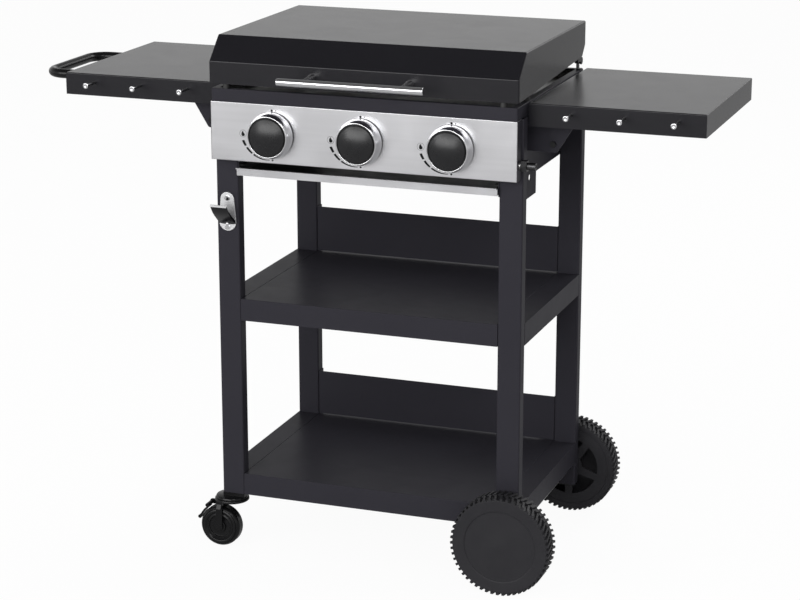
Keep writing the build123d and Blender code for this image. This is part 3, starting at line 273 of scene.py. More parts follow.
class Finish(ABC):
    """Base of the finishes: a named material with one main shader."""

    name: str

    def make(self, effects: Effects) -> bpy.types.Material:
        """Build the material.

        Args:
            effects: The shared shader groups.

        Returns:
            The material.
        """
        material = bpy.data.materials.new(self.name)
        material.use_nodes = True
        graph = Graph(material.node_tree)
        place = graph.add("ShaderNodeTexCoord").outputs["Object"]
        shader = graph.add("ShaderNodeBsdfPrincipled", self._look(graph, effects, place))
        graph.add("ShaderNodeOutputMaterial", {0: shader.outputs[0]})
        return material

    @abstractmethod
    def _look(self, graph: Graph, effects: Effects, place: bpy.types.NodeSocket) -> dict[str, object]:
        """Work out what the shader takes.

        Args:
            graph: The material's graph.
            effects: The shared shader groups.
            place: Socket of the object coordinates.

        Returns:
            Values or sockets, by the name of the shader's input.
        """


@dataclass(frozen=True)
class Skin(Finish):
    """Base of paint, plating and mouldings: a fine grain, uneven in tone, under a film of handling."""

    name: str
    colour: Colour
    worn: Colour
    rough_low: float
    rough_high: float
    ior: float = 1.5
    metallic: float = 0.0
    grain: float = 900.0
    patch: float = 5.0
    cloud: float = 14.0
    relief: float = 0.00002
    shows: float = 0.35

    def _look(self, graph: Graph, effects: Effects, place: bpy.types.NodeSocket) -> dict[str, object]:
        """Let the mottle change the colour, the film the roughness and the grain the normal.

        Args:
            graph: The material's graph.
            effects: The shared shader groups.
            place: Socket of the object coordinates.

        Returns:
            Values or sockets, by the name of the shader's input.
        """
        skin = graph.effect(effects.pebble, place, Scale=self.grain, Patch=self.patch)
        film = graph.effect(effects.film, place, Scale=self.cloud)
        return {
            "Base Color": graph.blend(skin["Mottle"], self.colour, self.worn),
            "Roughness": graph.spread(film["Film"], self.rough_low, self.rough_high),
            "Normal": graph.bump(skin["Height"], self.relief, self.shows),
            "Metallic": self.metallic,
            "IOR": self.ior,
        }


class PowderCoat(Skin):
    """Baked powder paint on steel: pebbled, half glossy, slightly uneven in tone."""


@dataclass(frozen=True)
class PlatedMetal(Skin):
    """Plated or machined metal: bright, with a faint film of handling."""

    metallic: float = 1.0
    grain: float = 400.0
    patch: float = 20.0
    cloud: float = 30.0
    relief: float = 0.000004
    shows: float = 0.3


@dataclass(frozen=True)
class Moulded(Skin):
    """Moulded plastic, rubber or glazed ceramic with a fine skin."""

    grain: float = 1400.0
    patch: float = 35.0
    cloud: float = 40.0
    relief: float = 0.00001
    shows: float = 0.4


@dataclass(frozen=True)
class DrawnSteel(Finish):
    """Brushed stainless sheet with lines along the object's width."""

    name: str
    light: Colour
    dark: Colour
    rough_low: float
    rough_high: float
    cloud: float = 9.0
    line_share: float = 0.6
    film_share: float = 0.4
    relief: float = 0.000008
    shows: float = 0.4

    def _look(self, graph: Graph, effects: Effects, place: bpy.types.NodeSocket) -> dict[str, object]:
        """Let the bands change the colour, and the lines the normal and, with the film, the roughness.

        Args:
            graph: The material's graph.
            effects: The shared shader groups.
            place: Socket of the object coordinates.

        Returns:
            Values or sockets, by the name of the shader's input.
        """
        lines = graph.effect(effects.drawn, place)
        film = graph.effect(effects.film, place, Scale=self.cloud)
        by_lines = graph.math("MULTIPLY", lines["Lines"], self.line_share)
        by_film = graph.math("MULTIPLY", film["Film"], self.film_share)
        mixed = graph.math("ADD", by_lines, by_film)
        return {
            "Base Color": graph.blend(lines["Tone"], self.dark, self.light),
            "Roughness": graph.spread(mixed, self.rough_low, self.rough_high),
            "Normal": graph.bump(lines["Lines"], self.relief, self.shows),
            "Metallic": 1.0,
        }


@dataclass(frozen=True)
class SeasonedPlate(Finish):
    """Rolled cooking steel, blackened by oil, with paler patches where it's scraped."""

    name: str
    oiled: Colour
    bare: Colour
    rough_low: float = 0.28
    rough_high: float = 0.55
    metal_low: float = 0.35
    metal_high: float = 0.75
    grain: float = 260.0
    patch: float = 11.0
    scrape: float = 12.0
    cloud: float = 7.0
    relief: float = 0.00004
    shows: float = 0.4

    def _look(self, graph: Graph, effects: Effects, place: bpy.types.NodeSocket) -> dict[str, object]:
        """Let scraped patches, the mottle times the lines, show bare metal, and the film change the roughness.

        Args:
            graph: The material's graph.
            effects: The shared shader groups.
            place: Socket of the object coordinates.

        Returns:
            Values or sockets, by the name of the shader's input.
        """
        skin = graph.effect(effects.pebble, place, Scale=self.grain, Patch=self.patch)
        lines = graph.effect(effects.drawn, place, Along=self.scrape, Across=self.grain)
        film = graph.effect(effects.film, place, Scale=self.cloud)
        scraped = graph.math("MULTIPLY", skin["Mottle"], lines["Lines"])
        return {
            "Base Color": graph.blend(scraped, self.oiled, self.bare),
            "Roughness": graph.spread(film["Film"], self.rough_low, self.rough_high),
            "Metallic": graph.spread(scraped, self.metal_low, self.metal_high),
            "Normal": graph.bump(skin["Height"], self.relief, self.shows),
        }


class Shell:
    """Points and faces of one piece, gathered from grids and prisms."""

    def __init__(self) -> None:
        """Start with nothing."""
        self.points: list[np.ndarray] = []
        self.faces: list[list[int]] = []
        self.count = 0

    def grid(self, points: np.ndarray, wrap_rows: bool = False, wrap_columns: bool = False) -> None:
        """Add a surface: quads between neighbouring points of a grid.

        Args:
            points: Array of rows by columns by 3.
            wrap_rows: Whether the last row joins the first.
            wrap_columns: Whether the last column joins the first.
        """
        rows, columns = points.shape[:2]
        index = self.count + np.arange(rows * columns).reshape(rows, columns)
        if wrap_rows:
            index = np.vstack([index, index[:1]])
        if wrap_columns:
            index = np.hstack([index, index[:, :1]])
        quads = np.stack([index[:-1, :-1], index[1:, :-1], index[1:, 1:], index[:-1, 1:]], axis=-1)
        self.faces += quads.reshape(-1, 4).tolist()
        self.points.append(points.reshape(-1, 3))
        self.count += rows * columns

    def turn(self, profile: np.ndarray, base: np.ndarray, way: Way, steps: int, closed: bool = False) -> None:
        """Add a turned surface: base + distance * way + radius * (cos a, sin a) across the way.

        Args:
            profile: Array of n by 2: radius and distance along the axis, in metres.
            base: Point where the axis starts.
            way: Direction of the axis.
            steps: Number of steps round.
            closed: Whether the profile is a closed section.
        """
        along = np.array(way.value)
        side = np.array(Way.RIGHT.value if way is Way.UP else Way.UP.value)
        other = np.cross(along, side)
        angle = np.linspace(0.0, 2 * math.pi, steps, endpoint=False)
        ring = np.cos(angle)[:, None] * side + np.sin(angle)[:, None] * other
        points = base + profile[:, 1, None, None] * along + profile[:, 0, None, None] * ring
        self.grid(points, wrap_rows=closed, wrap_columns=True)

    def prism(self, outline: np.ndarray, depth: np.ndarray) -> None:
        """Add a flat plate: an outline and the same outline moved by its depth.

        Args:
            outline: Array of n by 3, once round the plate's edge.
            depth: Offset to the other side.
        """
        size = len(outline)
        first = self.count + np.arange(size)
        self.grid(np.stack([outline, outline + depth]), wrap_columns=True)
        self.faces.append(first[::-1].tolist())
        self.faces.append((first + size).tolist())

    def blocks(self, corners: np.ndarray) -> None:
        """Add many six-sided blocks.

        Args:
            corners: Array of n by 8 by 3: four corners of one end, then the same four of the other.
        """
        sides = np.array([[0, 1, 2, 3], [7, 6, 5, 4], [0, 4, 5, 1], [1, 5, 6, 2], [2, 6, 7, 3], [3, 7, 4, 0]])
        count, size = corners.shape[:2]
        starts = self.count + size * np.arange(count)
        self.faces += (starts[:, None, None] + sides).reshape(-1, 4).tolist()
        self.points.append(corners.reshape(-1, 3))
        self.count += size * count

    def piece(self, name: str, material: bpy.types.Material, flat: bool = False) -> bpy.types.Object:
        """Make the piece's object.

        Args:
            name: The object's name.
            material: Its finish.
            flat: Whether the piece is an open sheet that keeps its facing.

        Returns:
            The object, at the origin.
        """
        mesh = bpy.data.meshes.new(name)
        mesh.from_pydata(np.vstack(self.points).tolist(), [], self.faces)
        work = bmesh.new()
        work.from_mesh(mesh)
        bmesh.ops.remove_doubles(work, verts=work.verts, dist=MERGE)
        if not flat:
            bmesh.ops.recalc_face_normals(work, faces=work.faces)
        work.to_mesh(mesh)
        work.free()
        mesh.polygons.foreach_set("use_smooth", np.ones(len(mesh.polygons), bool))
        mesh.set_sharp_from_angle(angle=math.radians(SHARP_ANGLE))
        mesh.materials.append(material)
        made = bpy.data.objects.new(name, mesh)
        bpy.context.scene.collection.objects.link(made)
        LOG.info("%s: %d faces", name, len(mesh.polygons))
        return made


def bow(start: Point, end: Point, bulge: float, count: int) -> np.ndarray:
    """Points on a shallow curve: the chord plus a half sine of the given bulge across it.

    Args:
        start: First point of a profile, in millimetres.
        end: Last point.
        bulge: Height of the bow, to the left of the way from start to end.
        count: Number of points.

    Returns:
        Array of count by 2.
    """
    share = np.linspace(0.0, 1.0, count)[:, None]
    first, last = np.array(start), np.array(end)
    run = last - first
    left = np.array([-run[1], run[0]]) / np.hypot(*run)
    return first + share * run + np.sin(math.pi * share) * bulge * left


def arc(centre: Point, radius: float, first: float, last: float, count: int) -> np.ndarray:
    """Points on a circle: centre + radius * (cos a, sin a).

    Args:
        centre: Centre of the circle, in millimetres.
        radius: Its radius.
        first: Start angle in degrees.
        last: End angle in degrees.
        count: Number of points.

    Returns:
        Array of count by 2.
    """
    angle = np.radians(np.linspace(first, last, count))
    return np.array(centre) + radius * np.stack([np.cos(angle), np.sin(angle)], axis=-1)


def rounded(point: Point, radius: float, corner: Corner, count: int) -> np.ndarray:
    """Quarter circle in place of a profile's corner: its centre lies one radius inwards on both axes.

    Args:
        point: The sharp corner, in millimetres.
        radius: Radius of the quarter circle.
        corner: Which corner of the profile it is.
        count: Number of points.

    Returns:
        Array of count by 2.
    """
    facing = math.radians(corner.value + 45)
    inwards = -np.sign([math.cos(facing), math.sin(facing)])
    return arc(np.array(point) + radius * inwards, radius, corner.value, corner.value + 90, count)


def upright(outline: np.ndarray, depth: float) -> np.ndarray:
    """Stand an outline of X and Z up at a depth along Y."""
    return np.stack([outline[:, 0], np.full(len(outline), depth), outline[:, 1]], axis=-1)


def middle(node: str) -> np.ndarray:
    """Centre of a CAD node's box, in metres."""
    low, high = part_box(node)
    return (np.array(low) + np.array(high)) / 2


def keep(piece: bpy.types.Object, body: str, slot: str, *nodes: str) -> bpy.types.Object:
    """Let a piece ride on a body and stand for CAD nodes.

    Args:
        piece: The new piece.
        body: The body that carries it.
        slot: Name of a material slot for the piece's finish; not used.
        nodes: The CAD nodes that it stands for.

    Returns:
        The piece.
    """
    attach(piece, body)
    if nodes:
        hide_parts(*nodes)
    return piece


def soften(piece: bpy.types.Object, width: float) -> None:
    """Round a piece's sharp edges by a width in millimetres."""
    edge = piece.modifiers.new("soft_edges", "BEVEL")
    edge.width, edge.segments, edge.limit_method = width * MM, 2, "ANGLE"


class Finishes:
    """All finishes of the griddle, made once."""

    def __init__(self) -> None:
        """Build every material."""
        effects = Effects()
        coats = {
            "paint": PowderCoat("charcoal", (0.0255, 0.0245, 0.0306), (0.0275, 0.0265, 0.0328), 0.36, 0.42, 1.14),
            "gloss": PowderCoat("lid_powder", (0.0088, 0.0084, 0.0108), (0.0096, 0.0092, 0.0117), 0.25, 0.27, 1.38,
                                relief=0.000007),
            "grip": PowderCoat("handle_powder", (0.0050, 0.0050, 0.0055), (0.0062, 0.0062, 0.0068), 0.20, 0.27, 1.32),
            "bolt": PowderCoat("bolt_black", (0.0065, 0.0065, 0.0070), (0.0090, 0.0090, 0.0096), 0.30, 0.42, 1.30),
            # drip tray: its near-black colour is painted shade and a painted dark reflection on the galvanised tray,
            # which lies in the griddle's shade
            "enamel": PowderCoat("tray_painted_shade", (0.0090, 0.0090, 0.0100), (0.0130, 0.0130, 0.0140), 0.30, 0.45, 1.40),
        }
        metals = {
            "panel": DrawnSteel("panel_steel", (0.665, 0.663, 0.681), (0.579, 0.578, 0.594), 0.26, 0.40),
            "burner": DrawnSteel("burner_steel", (0.50, 0.48, 0.45), (0.36, 0.33, 0.30), 0.35, 0.55),
            "chrome": PlatedMetal("chrome", (0.84, 0.84, 0.85), (0.76, 0.76, 0.78), 0.05, 0.13),
            "cast": PlatedMetal("opener_metal", (0.82, 0.82, 0.83), (0.74, 0.74, 0.75), 0.34, 0.44),
            "satin": PlatedMetal("satin_steel", (0.72, 0.72, 0.73), (0.62, 0.62, 0.63), 0.18, 0.30),
            "shaft": PlatedMetal("shaft_steel", (0.30, 0.30, 0.31), (0.22, 0.22, 0.23), 0.22, 0.36),
            # opener scoop's underside: nickel darkened as a painted reflection of a dark floor below it
            "dark": PlatedMetal("nickel_painted_dark_reflection", (0.052, 0.052, 0.055), (0.036, 0.036, 0.038), 0.12, 0.26),
            "zinc": PlatedMetal("zinc_plate", (0.58, 0.58, 0.57), (0.42, 0.42, 0.42), 0.28, 0.45),
            "fitting": PlatedMetal("inlet_steel", (0.095, 0.095, 0.098), (0.065, 0.065, 0.067), 0.30, 0.45),
            "hinge": PlatedMetal("black_zinc", (0.034, 0.034, 0.037), (0.024, 0.024, 0.026), 0.34, 0.48),
            "brass": PlatedMetal("valve_brass", (0.70, 0.52, 0.24), (0.55, 0.40, 0.18), 0.22, 0.40),
            "plate": SeasonedPlate("seasoned_plate", (0.012, 0.011, 0.010), (0.075, 0.070, 0.065)),
        }
        mouldings = {
            "cap": Moulded("knob_cap", (0.0075, 0.0075, 0.0085), (0.0095, 0.0095, 0.0106), 0.26, 0.31, 1.42),
            "wheel": Moulded("wheel_plastic", (0.0205, 0.0200, 0.0228), (0.0230, 0.0225, 0.0252), 0.42, 0.52, 1.25),
            "caster": Moulded("caster_plastic", (0.0040, 0.0040, 0.0044), (0.0052, 0.0052, 0.0057), 0.18, 0.26, 1.30),
            "tread": Moulded("caster_tread", (0.0045, 0.0045, 0.0049), (0.0060, 0.0060, 0.0065), 0.22, 0.32, 1.30),
            "rubber": Moulded("bumper_rubber", (0.012, 0.012, 0.012), (0.020, 0.020, 0.020), 0.60, 0.80, 1.5),
            "ceramic": Moulded("ceramic", (0.78, 0.76, 0.72), (0.86, 0.85, 0.82), 0.12, 0.25, 1.55),
            "ink": Moulded("dial_ink", (0.0040, 0.0040, 0.0043), (0.0060, 0.0060, 0.0064), 0.40, 0.55, 1.20),
            "pale_ink": Moulded("dial_ink_pale", (0.16, 0.16, 0.17), (0.20, 0.20, 0.21), 0.40, 0.55, 1.45),
        }
        self.made = {name: finish.make(effects) for name, finish in (coats | metals | mouldings).items()}

    def __getitem__(self, name: str) -> bpy.types.Material:
        """Finish by its short name."""
        return self.made[name]

    def by_node(self) -> dict[str, bpy.types.Material]:
        """Finish of each CAD node that stays as it is.

        Returns:
            Material by node name.
        """
        nodes = {
            "paint": "leg_front_left leg_front_right leg_rear_left leg_rear_right side_rails mid_shelf low_shelf "
                     "mid_guard low_guard side_plates top_frame firebox shelf_arms shelf_gussets",
            "gloss": "lid side_shelf_left side_shelf_right",
            "grip": "push_handle",
            "bolt": "cart_bolts bracket_bolts tray_runners",
            # the drip tray takes the painted-shade coat
            "enamel": "drip_tray",
            "panel": "control_panel tray_front",
            "burner": "burners",
            "plate": "griddle_plate",
            "zinc": "manifold manifold_clamps axle axle_spacers valve_stem_left valve_stem_middle valve_stem_right",
            "hinge": "lid_hinge_arms lid_hinge_brackets lid_hinge_pins",
            "fitting": "gas_inlet",
            "brass": "gas_valves",
            "chrome": "opener_screws",
            "rubber": "lid_bumpers",
            "ceramic": "igniters",
            "caster": "leg_plugs caster_brake_front caster_brake_rear",
        }
        return {node: self[name] for name, group in nodes.items() for node in group.split()}


@dataclass
class Knobs:
    """Three control knobs: a bright tapered barrel with a dark domed cap set in its front.

    The belly's top is given by its distance out from the lip's radius and back from the front.
    """

    back_radius: float = 42.0
    back_edge: float = 0.8
    belly: float = 1.15
    belly_foot: float = 1.2
    belly_top: tuple[float, float] = (0.3, 2.5)
    lip_radius: float = 38.0
    lip_round: float = 0.9
    lip_inner_round: float = 0.6
    length: float = 22.5
    recess_radius: float = 36.0
    recess: float = 4.0
    web: float = 3.0
    hub_radius: float = 9.0
    seat_gap: float = 0.05
    rim_radius: float = 36.2
    rim_wall: float = 0.5
    rim_drop: float = 0.7
    groove: float = 3.0
    cap_radius: float = 33.4
    cap_round: float = 1.4
    cap_turn: float = 75.0
    cap_drop: float = 1.2
    dome: float = 7.0
    dome_inset: float = 0.9
    steps: int = 96

    def barrel_profile(self) -> np.ndarray:
        """Closed section of the barrel: a bellied cone with a rounded lip and a hollow back.

        Returns:
            Radius and distance from the barrel's back, in metres.
        """
        inner, edge, floor = self.recess_radius, self.back_edge, self.length - self.recess
        flank_end = (self.lip_radius + self.belly_top[0], self.length - self.belly_top[1])
        loop = np.vstack([
            [(inner, floor - self.web), (inner, edge), (inner + edge, 0.0), (self.back_radius - edge, 0.0)],
            bow((self.back_radius, self.belly_foot), flank_end, -self.belly, 14),
            rounded((self.lip_radius, self.length), self.lip_round, Corner.OUTER_FAR, 6),
            rounded((inner, self.length), self.lip_inner_round, Corner.INNER_FAR, 4),
            [(inner, floor), (self.hub_radius, floor), (self.hub_radius, floor - self.web)],
        ])
        return loop * MM

    def cap_profile(self) -> np.ndarray:
        """Section of the cap from its back to its crown: a thin rim, a groove, a rounded edge and a dome.

        Returns:
            Radius and distance from the barrel's back, in metres.
        """
        share = np.linspace(0.0, 1.0, 16)
        radius = (self.cap_radius - self.dome_inset) * (1 - share)
        height = self.length + self.dome * (1 - (1 - share) ** 2)
        edge = (self.cap_radius - self.cap_round, self.length - self.cap_drop)
        back, rim_top = self.length - self.recess + self.seat_gap, self.length - self.rim_drop
        inside, bottom = self.rim_radius - self.rim_wall, self.length - self.groove
        loop = np.vstack([
            [(0.0, back), (self.rim_radius, back), (self.rim_radius, rim_top)],
            [(inside, rim_top), (inside, bottom), (self.cap_radius, bottom)],
            arc(edge, self.cap_round, 0, self.cap_turn, 5),
            np.stack([radius, height], axis=-1)[1:],
        ])
        return loop * MM

    def build(self, finishes: Finishes) -> None:
        """Make the barrels and caps.

        Args:
            finishes: The griddle's materials.
        """
        for place in KNOB_PLACES:
            body = f"knob_{place}"
            axis = middle(body)
            base = np.array([axis[0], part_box(body)[1][1], axis[2]])
            barrel, cap = Shell(), Shell()
            barrel.turn(self.barrel_profile(), base, Way.FORWARD, self.steps, closed=True)
            keep(barrel.piece(f"knob_barrel_{place}", finishes["chrome"]), body, "chrome", body)
            cap.turn(self.cap_profile(), base, Way.FORWARD, self.steps)
            keep(cap.piece(f"knob_crown_{place}", finishes["cap"]), body, "knob_plastic", f"knob_cap_{place}")


@dataclass
class PanelEnds:
    """Thin dark plates laid over the two folded steel ends of the control panel, so that the ends read dark."""

    gap: float = 0.05
    skin: float = 0.35
    set_back: float = 0.8
    margin: float = 0.3

    def build(self, finishes: Finishes) -> None:
        """Lay a thin upright plate on each end.

        Args:
            finishes: The griddle's materials.
        """
        low, high = (np.array(corner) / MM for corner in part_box("control_panel"))
        front, back = low[1] + self.set_back, high[1] - self.margin
        foot, top = low[2] + self.margin, high[2] - self.margin
        face = np.array([(front, foot), (back, foot), (back, top), (front, top)])
        ends = []
        for place, way in ((low[0], -1), (high[0], 1)):
            across = sorted((place + way * self.gap, place + way * (self.gap + self.skin)))
            sides = [np.column_stack([np.full(len(face), level), face]) for level in across]
            ends.append(np.concatenate(sides))
        plates = Shell()
        plates.blocks(np.array(ends) * MM)
        keep(plates.piece("panel_end_skins", finishes["paint"]), "cart", "black_paint")


@dataclass
class DialPrint:
    """Printed marks round each knob: a dot for off, a flame, a narrowing sweep and a dot for low."""

    proud: float = 0.12
    film: float = 0.1
    dot_radius: float = 2.2
    low_dot_radius: float = 1.8
    off_reach: float = 44.6
    low_reach: float = 46.5
    pale_dot_radius: float = 1.2
    pale_dot_side: float = 7.4
    flame_place: tuple[float, float] = (-57.0, -1.0)
    flame_half: float = 3.6
    flame_bend: float = 1.0
    flame_foot: float = -5.0
    flame_height: float = 10.4
    ring_radius: float = 6.6
    ring_line: float = 0.7
    sweep_out: float = 58.5
    sweep_in: float = 46.8
    sweep_first: float = 193.0
    sweep_last: float = 263.0
    sweep_thick: float = 5.0
    sweep_thin: float = 1.2
    dashes: tuple[tuple[float, float], ...] = ((193.0, 204.0), (207.5, 222.5), (226.0, 263.0))

    @staticmethod
    def disc(centre: tuple[float, float], radius: float) -> np.ndarray:
        """Disc as a grid: radius times share round a circle.

        Args:
            centre: Centre on the panel.
            radius: Radius in millimetres.

        Returns:
            Grid of points on the panel, two numbers each.
        """
        share = np.linspace(0.0, 1.0, 3)[:, None, None]
        return np.array(centre) + share * arc((0, 0), radius, 0, 360, 25)

    @staticmethod
    def ring(centre: tuple[float, float], radius: float, width: float) -> np.ndarray:
        """Thin ring as a grid between two circles.

        Args:
            centre: Centre on the panel.
            radius: Middle radius.
            width: Width of the line.

        Returns:
            Grid of points on the panel, two numbers each.
        """
        return np.stack([arc(centre, radius + side * width / 2, 0, 360, 49) for side in (-1, 1)])

    def dash(self, first: float, last: float) -> np.ndarray:
        """Piece of the sweep: radius and width fall evenly with the angle.

        Args:
            first: Start angle in degrees.
            last: End angle in degrees.

        Returns:
            Grid of points on the panel, two numbers each.
        """
        angle = np.linspace(first, last, 24)
        share = (angle - self.sweep_first) / (self.sweep_last - self.sweep_first)
        radius = self.sweep_out + share * (self.sweep_in - self.sweep_out)
        half = (self.sweep_thick + share * (self.sweep_thin - self.sweep_thick)) / 2
        ray = np.stack([np.cos(np.radians(angle)), np.sin(np.radians(angle))], axis=-1)
        return np.stack([(radius - half)[:, None] * ray, (radius + half)[:, None] * ray])

    def flame(self) -> np.ndarray:
        """Flame as a grid: at each height, a bent middle line plus and minus a drop's half width.

        The half width is a half sine of the height to the power 0.62, narrowed by a quarter to the tip. The
        middle line bends as a sine of 1.1 waves that grows with the height.

        Returns:
            Grid of points on the panel, two numbers each.
        """
        share = np.linspace(0.0, 1.0, 20)
        half = self.flame_half * np.sin(math.pi * share**0.62) * (1 - 0.25 * share)
        bend = self.flame_bend * np.sin(2.2 * math.pi * share) * share
        height = self.flame_foot + self.flame_height * share
        left = np.stack([bend - half, height], axis=-1)
        right = np.stack([bend + half, height], axis=-1)
        return np.array(self.flame_place) + np.stack([left, right])

    def slab(self, flat: np.ndarray, axis: np.ndarray, front: float) -> np.ndarray:
        """Give a flat mark its thickness: its rows in front, then the same rows behind, back to the first row.

        Args:
            flat: Grid of points on the panel, two numbers each.
            axis: The knob's middle.
            front: Depth of the mark's face.

        Returns:
            Grid of points round the mark, in metres.
        """
        again = flat[:1] if np.ptp(flat[0], axis=0).any() else flat[:0]
        rows = np.concatenate([flat, flat[::-1], again]) * MM
        depth = np.repeat([front, front + self.film * MM, front], [len(flat), len(flat), len(again)])
        level = np.broadcast_to(depth[:, None], rows.shape[:2])
        return np.stack([axis[0] + rows[..., 0], level, axis[2] + rows[..., 1]], axis=-1)

    def build(self, finishes: Finishes) -> None:
        """Print the marks on the panel.

        Args:
            finishes: The griddle's materials.
        """
        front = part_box("control_panel")[0][1] - self.proud * MM
        dark, pale = Shell(), Shell()
        for place in KNOB_PLACES:
            axis = middle(f"knob_{place}")

            def lay(shell: Shell, flat: np.ndarray) -> None:
                """Put a mark on the panel round this knob."""
                shell.grid(self.slab(flat, axis, front))

            lay(dark, self.disc((0.0, self.off_reach), self.dot_radius))
            lay(dark, self.disc((0.0, -self.low_reach), self.low_dot_radius))
            lay(dark, self.flame())
            for first, last in self.dashes:
                lay(dark, self.dash(first, last))
                ends = self.slab(self.dash(first, last)[:, [0, -1]], axis, front)
                for end in (ends[:, 0], ends[:, 1]):
                    dark.grid(np.stack([end[[0, 1]], end[[3, 2]]]))
            lay(pale, self.ring(self.flame_place, self.ring_radius, self.ring_line))
            lay(pale, self.disc((self.pale_dot_side, self.off_reach), self.pale_dot_radius))
        keep(dark.piece("dial_marks", finishes["ink"]), "cart", "knob_plastic")
        keep(pale.piece("dial_rings", finishes["pale_ink"]), "cart", "knob_plastic")


@dataclass
class LidHandle:
    """Polished bar with rounded ends on two flared posts."""

    end_round: float = 2.2
    post_spread: float = 92.0
    foot_radius: float = 8.0
    neck_radius: float = 4.6
    foot_plate: float = 1.6
    flare: float = 1.1

    def build(self, finishes: Finishes) -> None:
        """Make the bar and its posts.

        Args:
            finishes: The griddle's materials.
        """
        low, high = (np.array(corner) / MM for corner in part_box("lid_handle"))
        radius = (high[2] - low[2]) / 2
        length = high[0] - low[0]
        near = rounded((radius, 0.0), self.end_round, Corner.OUTER_NEAR, 7)
        far = rounded((radius, length), self.end_round, Corner.OUTER_FAR, 7)
        profile = np.vstack([[(0.0, 0.0)], near, far, [(0.0, length)]]) * MM
        base = np.array([low[0], (low[1] + high[1]) / 2, (low[2] + high[2]) / 2]) * MM
        bar = Shell()
        bar.turn(profile, base, Way.RIGHT, 48)
        keep(bar.piece("lid_bar", finishes["chrome"]), "lid", "chrome", "lid_handle")

        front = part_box("lid")[0][1] / MM
        reach = front - base[1] / MM - math.sqrt(radius**2 - self.neck_radius**2)
        flare = bow((self.foot_radius, self.foot_plate), (self.neck_radius, reach), self.flare, 16)
        section = np.vstack([[(0.0, 0.0), (self.foot_radius, 0.0)], flare, [(0.0, reach)]]) * MM
        posts = Shell()
        for sign in (-1, 1):
            foot = np.array([sign * self.post_spread * MM, front * MM, base[2]])
            posts.turn(section, foot, Way.FORWARD, 40)
        keep(posts.piece("lid_bar_posts", finishes["satin"]), "lid", "chrome", "lid_handle_posts")


@dataclass
class ToolHooks:
    """Turned pins along the fronts of the side shelves: dull shafts with bright dimpled heads."""

    rod_radius: float = 2.5
    reach: float = 35.0
    head_radius: float = 5.25
    head_length: float = 4.0
    dimple_radius: float = 2.4
    dimple: float = 0.9
    dimple_edge: float = 0.3
    dimple_step: float = 0.1
    dimple_bow: float = 0.2
    back_round: float = 0.8
    front_round: float = 1.2
    tail: float = 8.0
    tail_edge: float = 0.5
    middles: tuple[float, ...] = (-455.0, 466.0)
    pitch: float = 95.0

    def shaft_profile(self) -> np.ndarray:
        """Section of a shaft from its tail in the shelf to its end in the head.

        Returns:
            Radius and distance from the shelf's front, in metres.
        """
        rod, end = self.rod_radius, self.reach + self.head_length / 4
        loop = np.vstack([
            [(0.0, -self.tail), (rod - self.tail_edge, -self.tail), (rod, self.tail_edge - self.tail)],
            bow((rod, 0.0), (rod, end), 0.0, 4),
            [(0.0, end)],
        ])
        return loop * MM

    def head_profile(self) -> np.ndarray:
        """Section of a head: rounded edges and a shallow dimple in its front.

        Returns:
            Radius and distance from the shelf's front, in metres.
        """
        end = self.reach + self.head_length
        loop = np.vstack([
            [(0.0, self.reach)],
            rounded((self.head_radius, self.reach), self.back_round, Corner.OUTER_NEAR, 4),
            rounded((self.head_radius, end), self.front_round, Corner.OUTER_FAR, 6),
            [(self.dimple_radius + self.dimple_edge, end)],
            bow((self.dimple_radius, end - self.dimple_step), (0.0, end - self.dimple), self.dimple_bow, 6),
        ])
        return loop * MM

    def build(self, finishes: Finishes) -> None:
        """Make the six hooks.

        Args:
            finishes: The griddle's materials.
        """
        low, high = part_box("tool_hooks")
        root = float(high[1]) - self.tail * MM
        height = float(low[2] + high[2]) / 2
        shafts, heads = Shell(), Shell()
        for middle_x in self.middles:
            for step in (-1, 0, 1):
                base = np.array([(middle_x + step * self.pitch) * MM, root, height])
                shafts.turn(self.shaft_profile(), base, Way.FORWARD, 28)
                heads.turn(self.head_profile(), base, Way.FORWARD, 40)
        keep(shafts.piece("hook_shafts", finishes["shaft"]), "cart", "chrome")
        keep(heads.piece("hook_heads", finishes["chrome"]), "cart", "chrome", "tool_hooks")


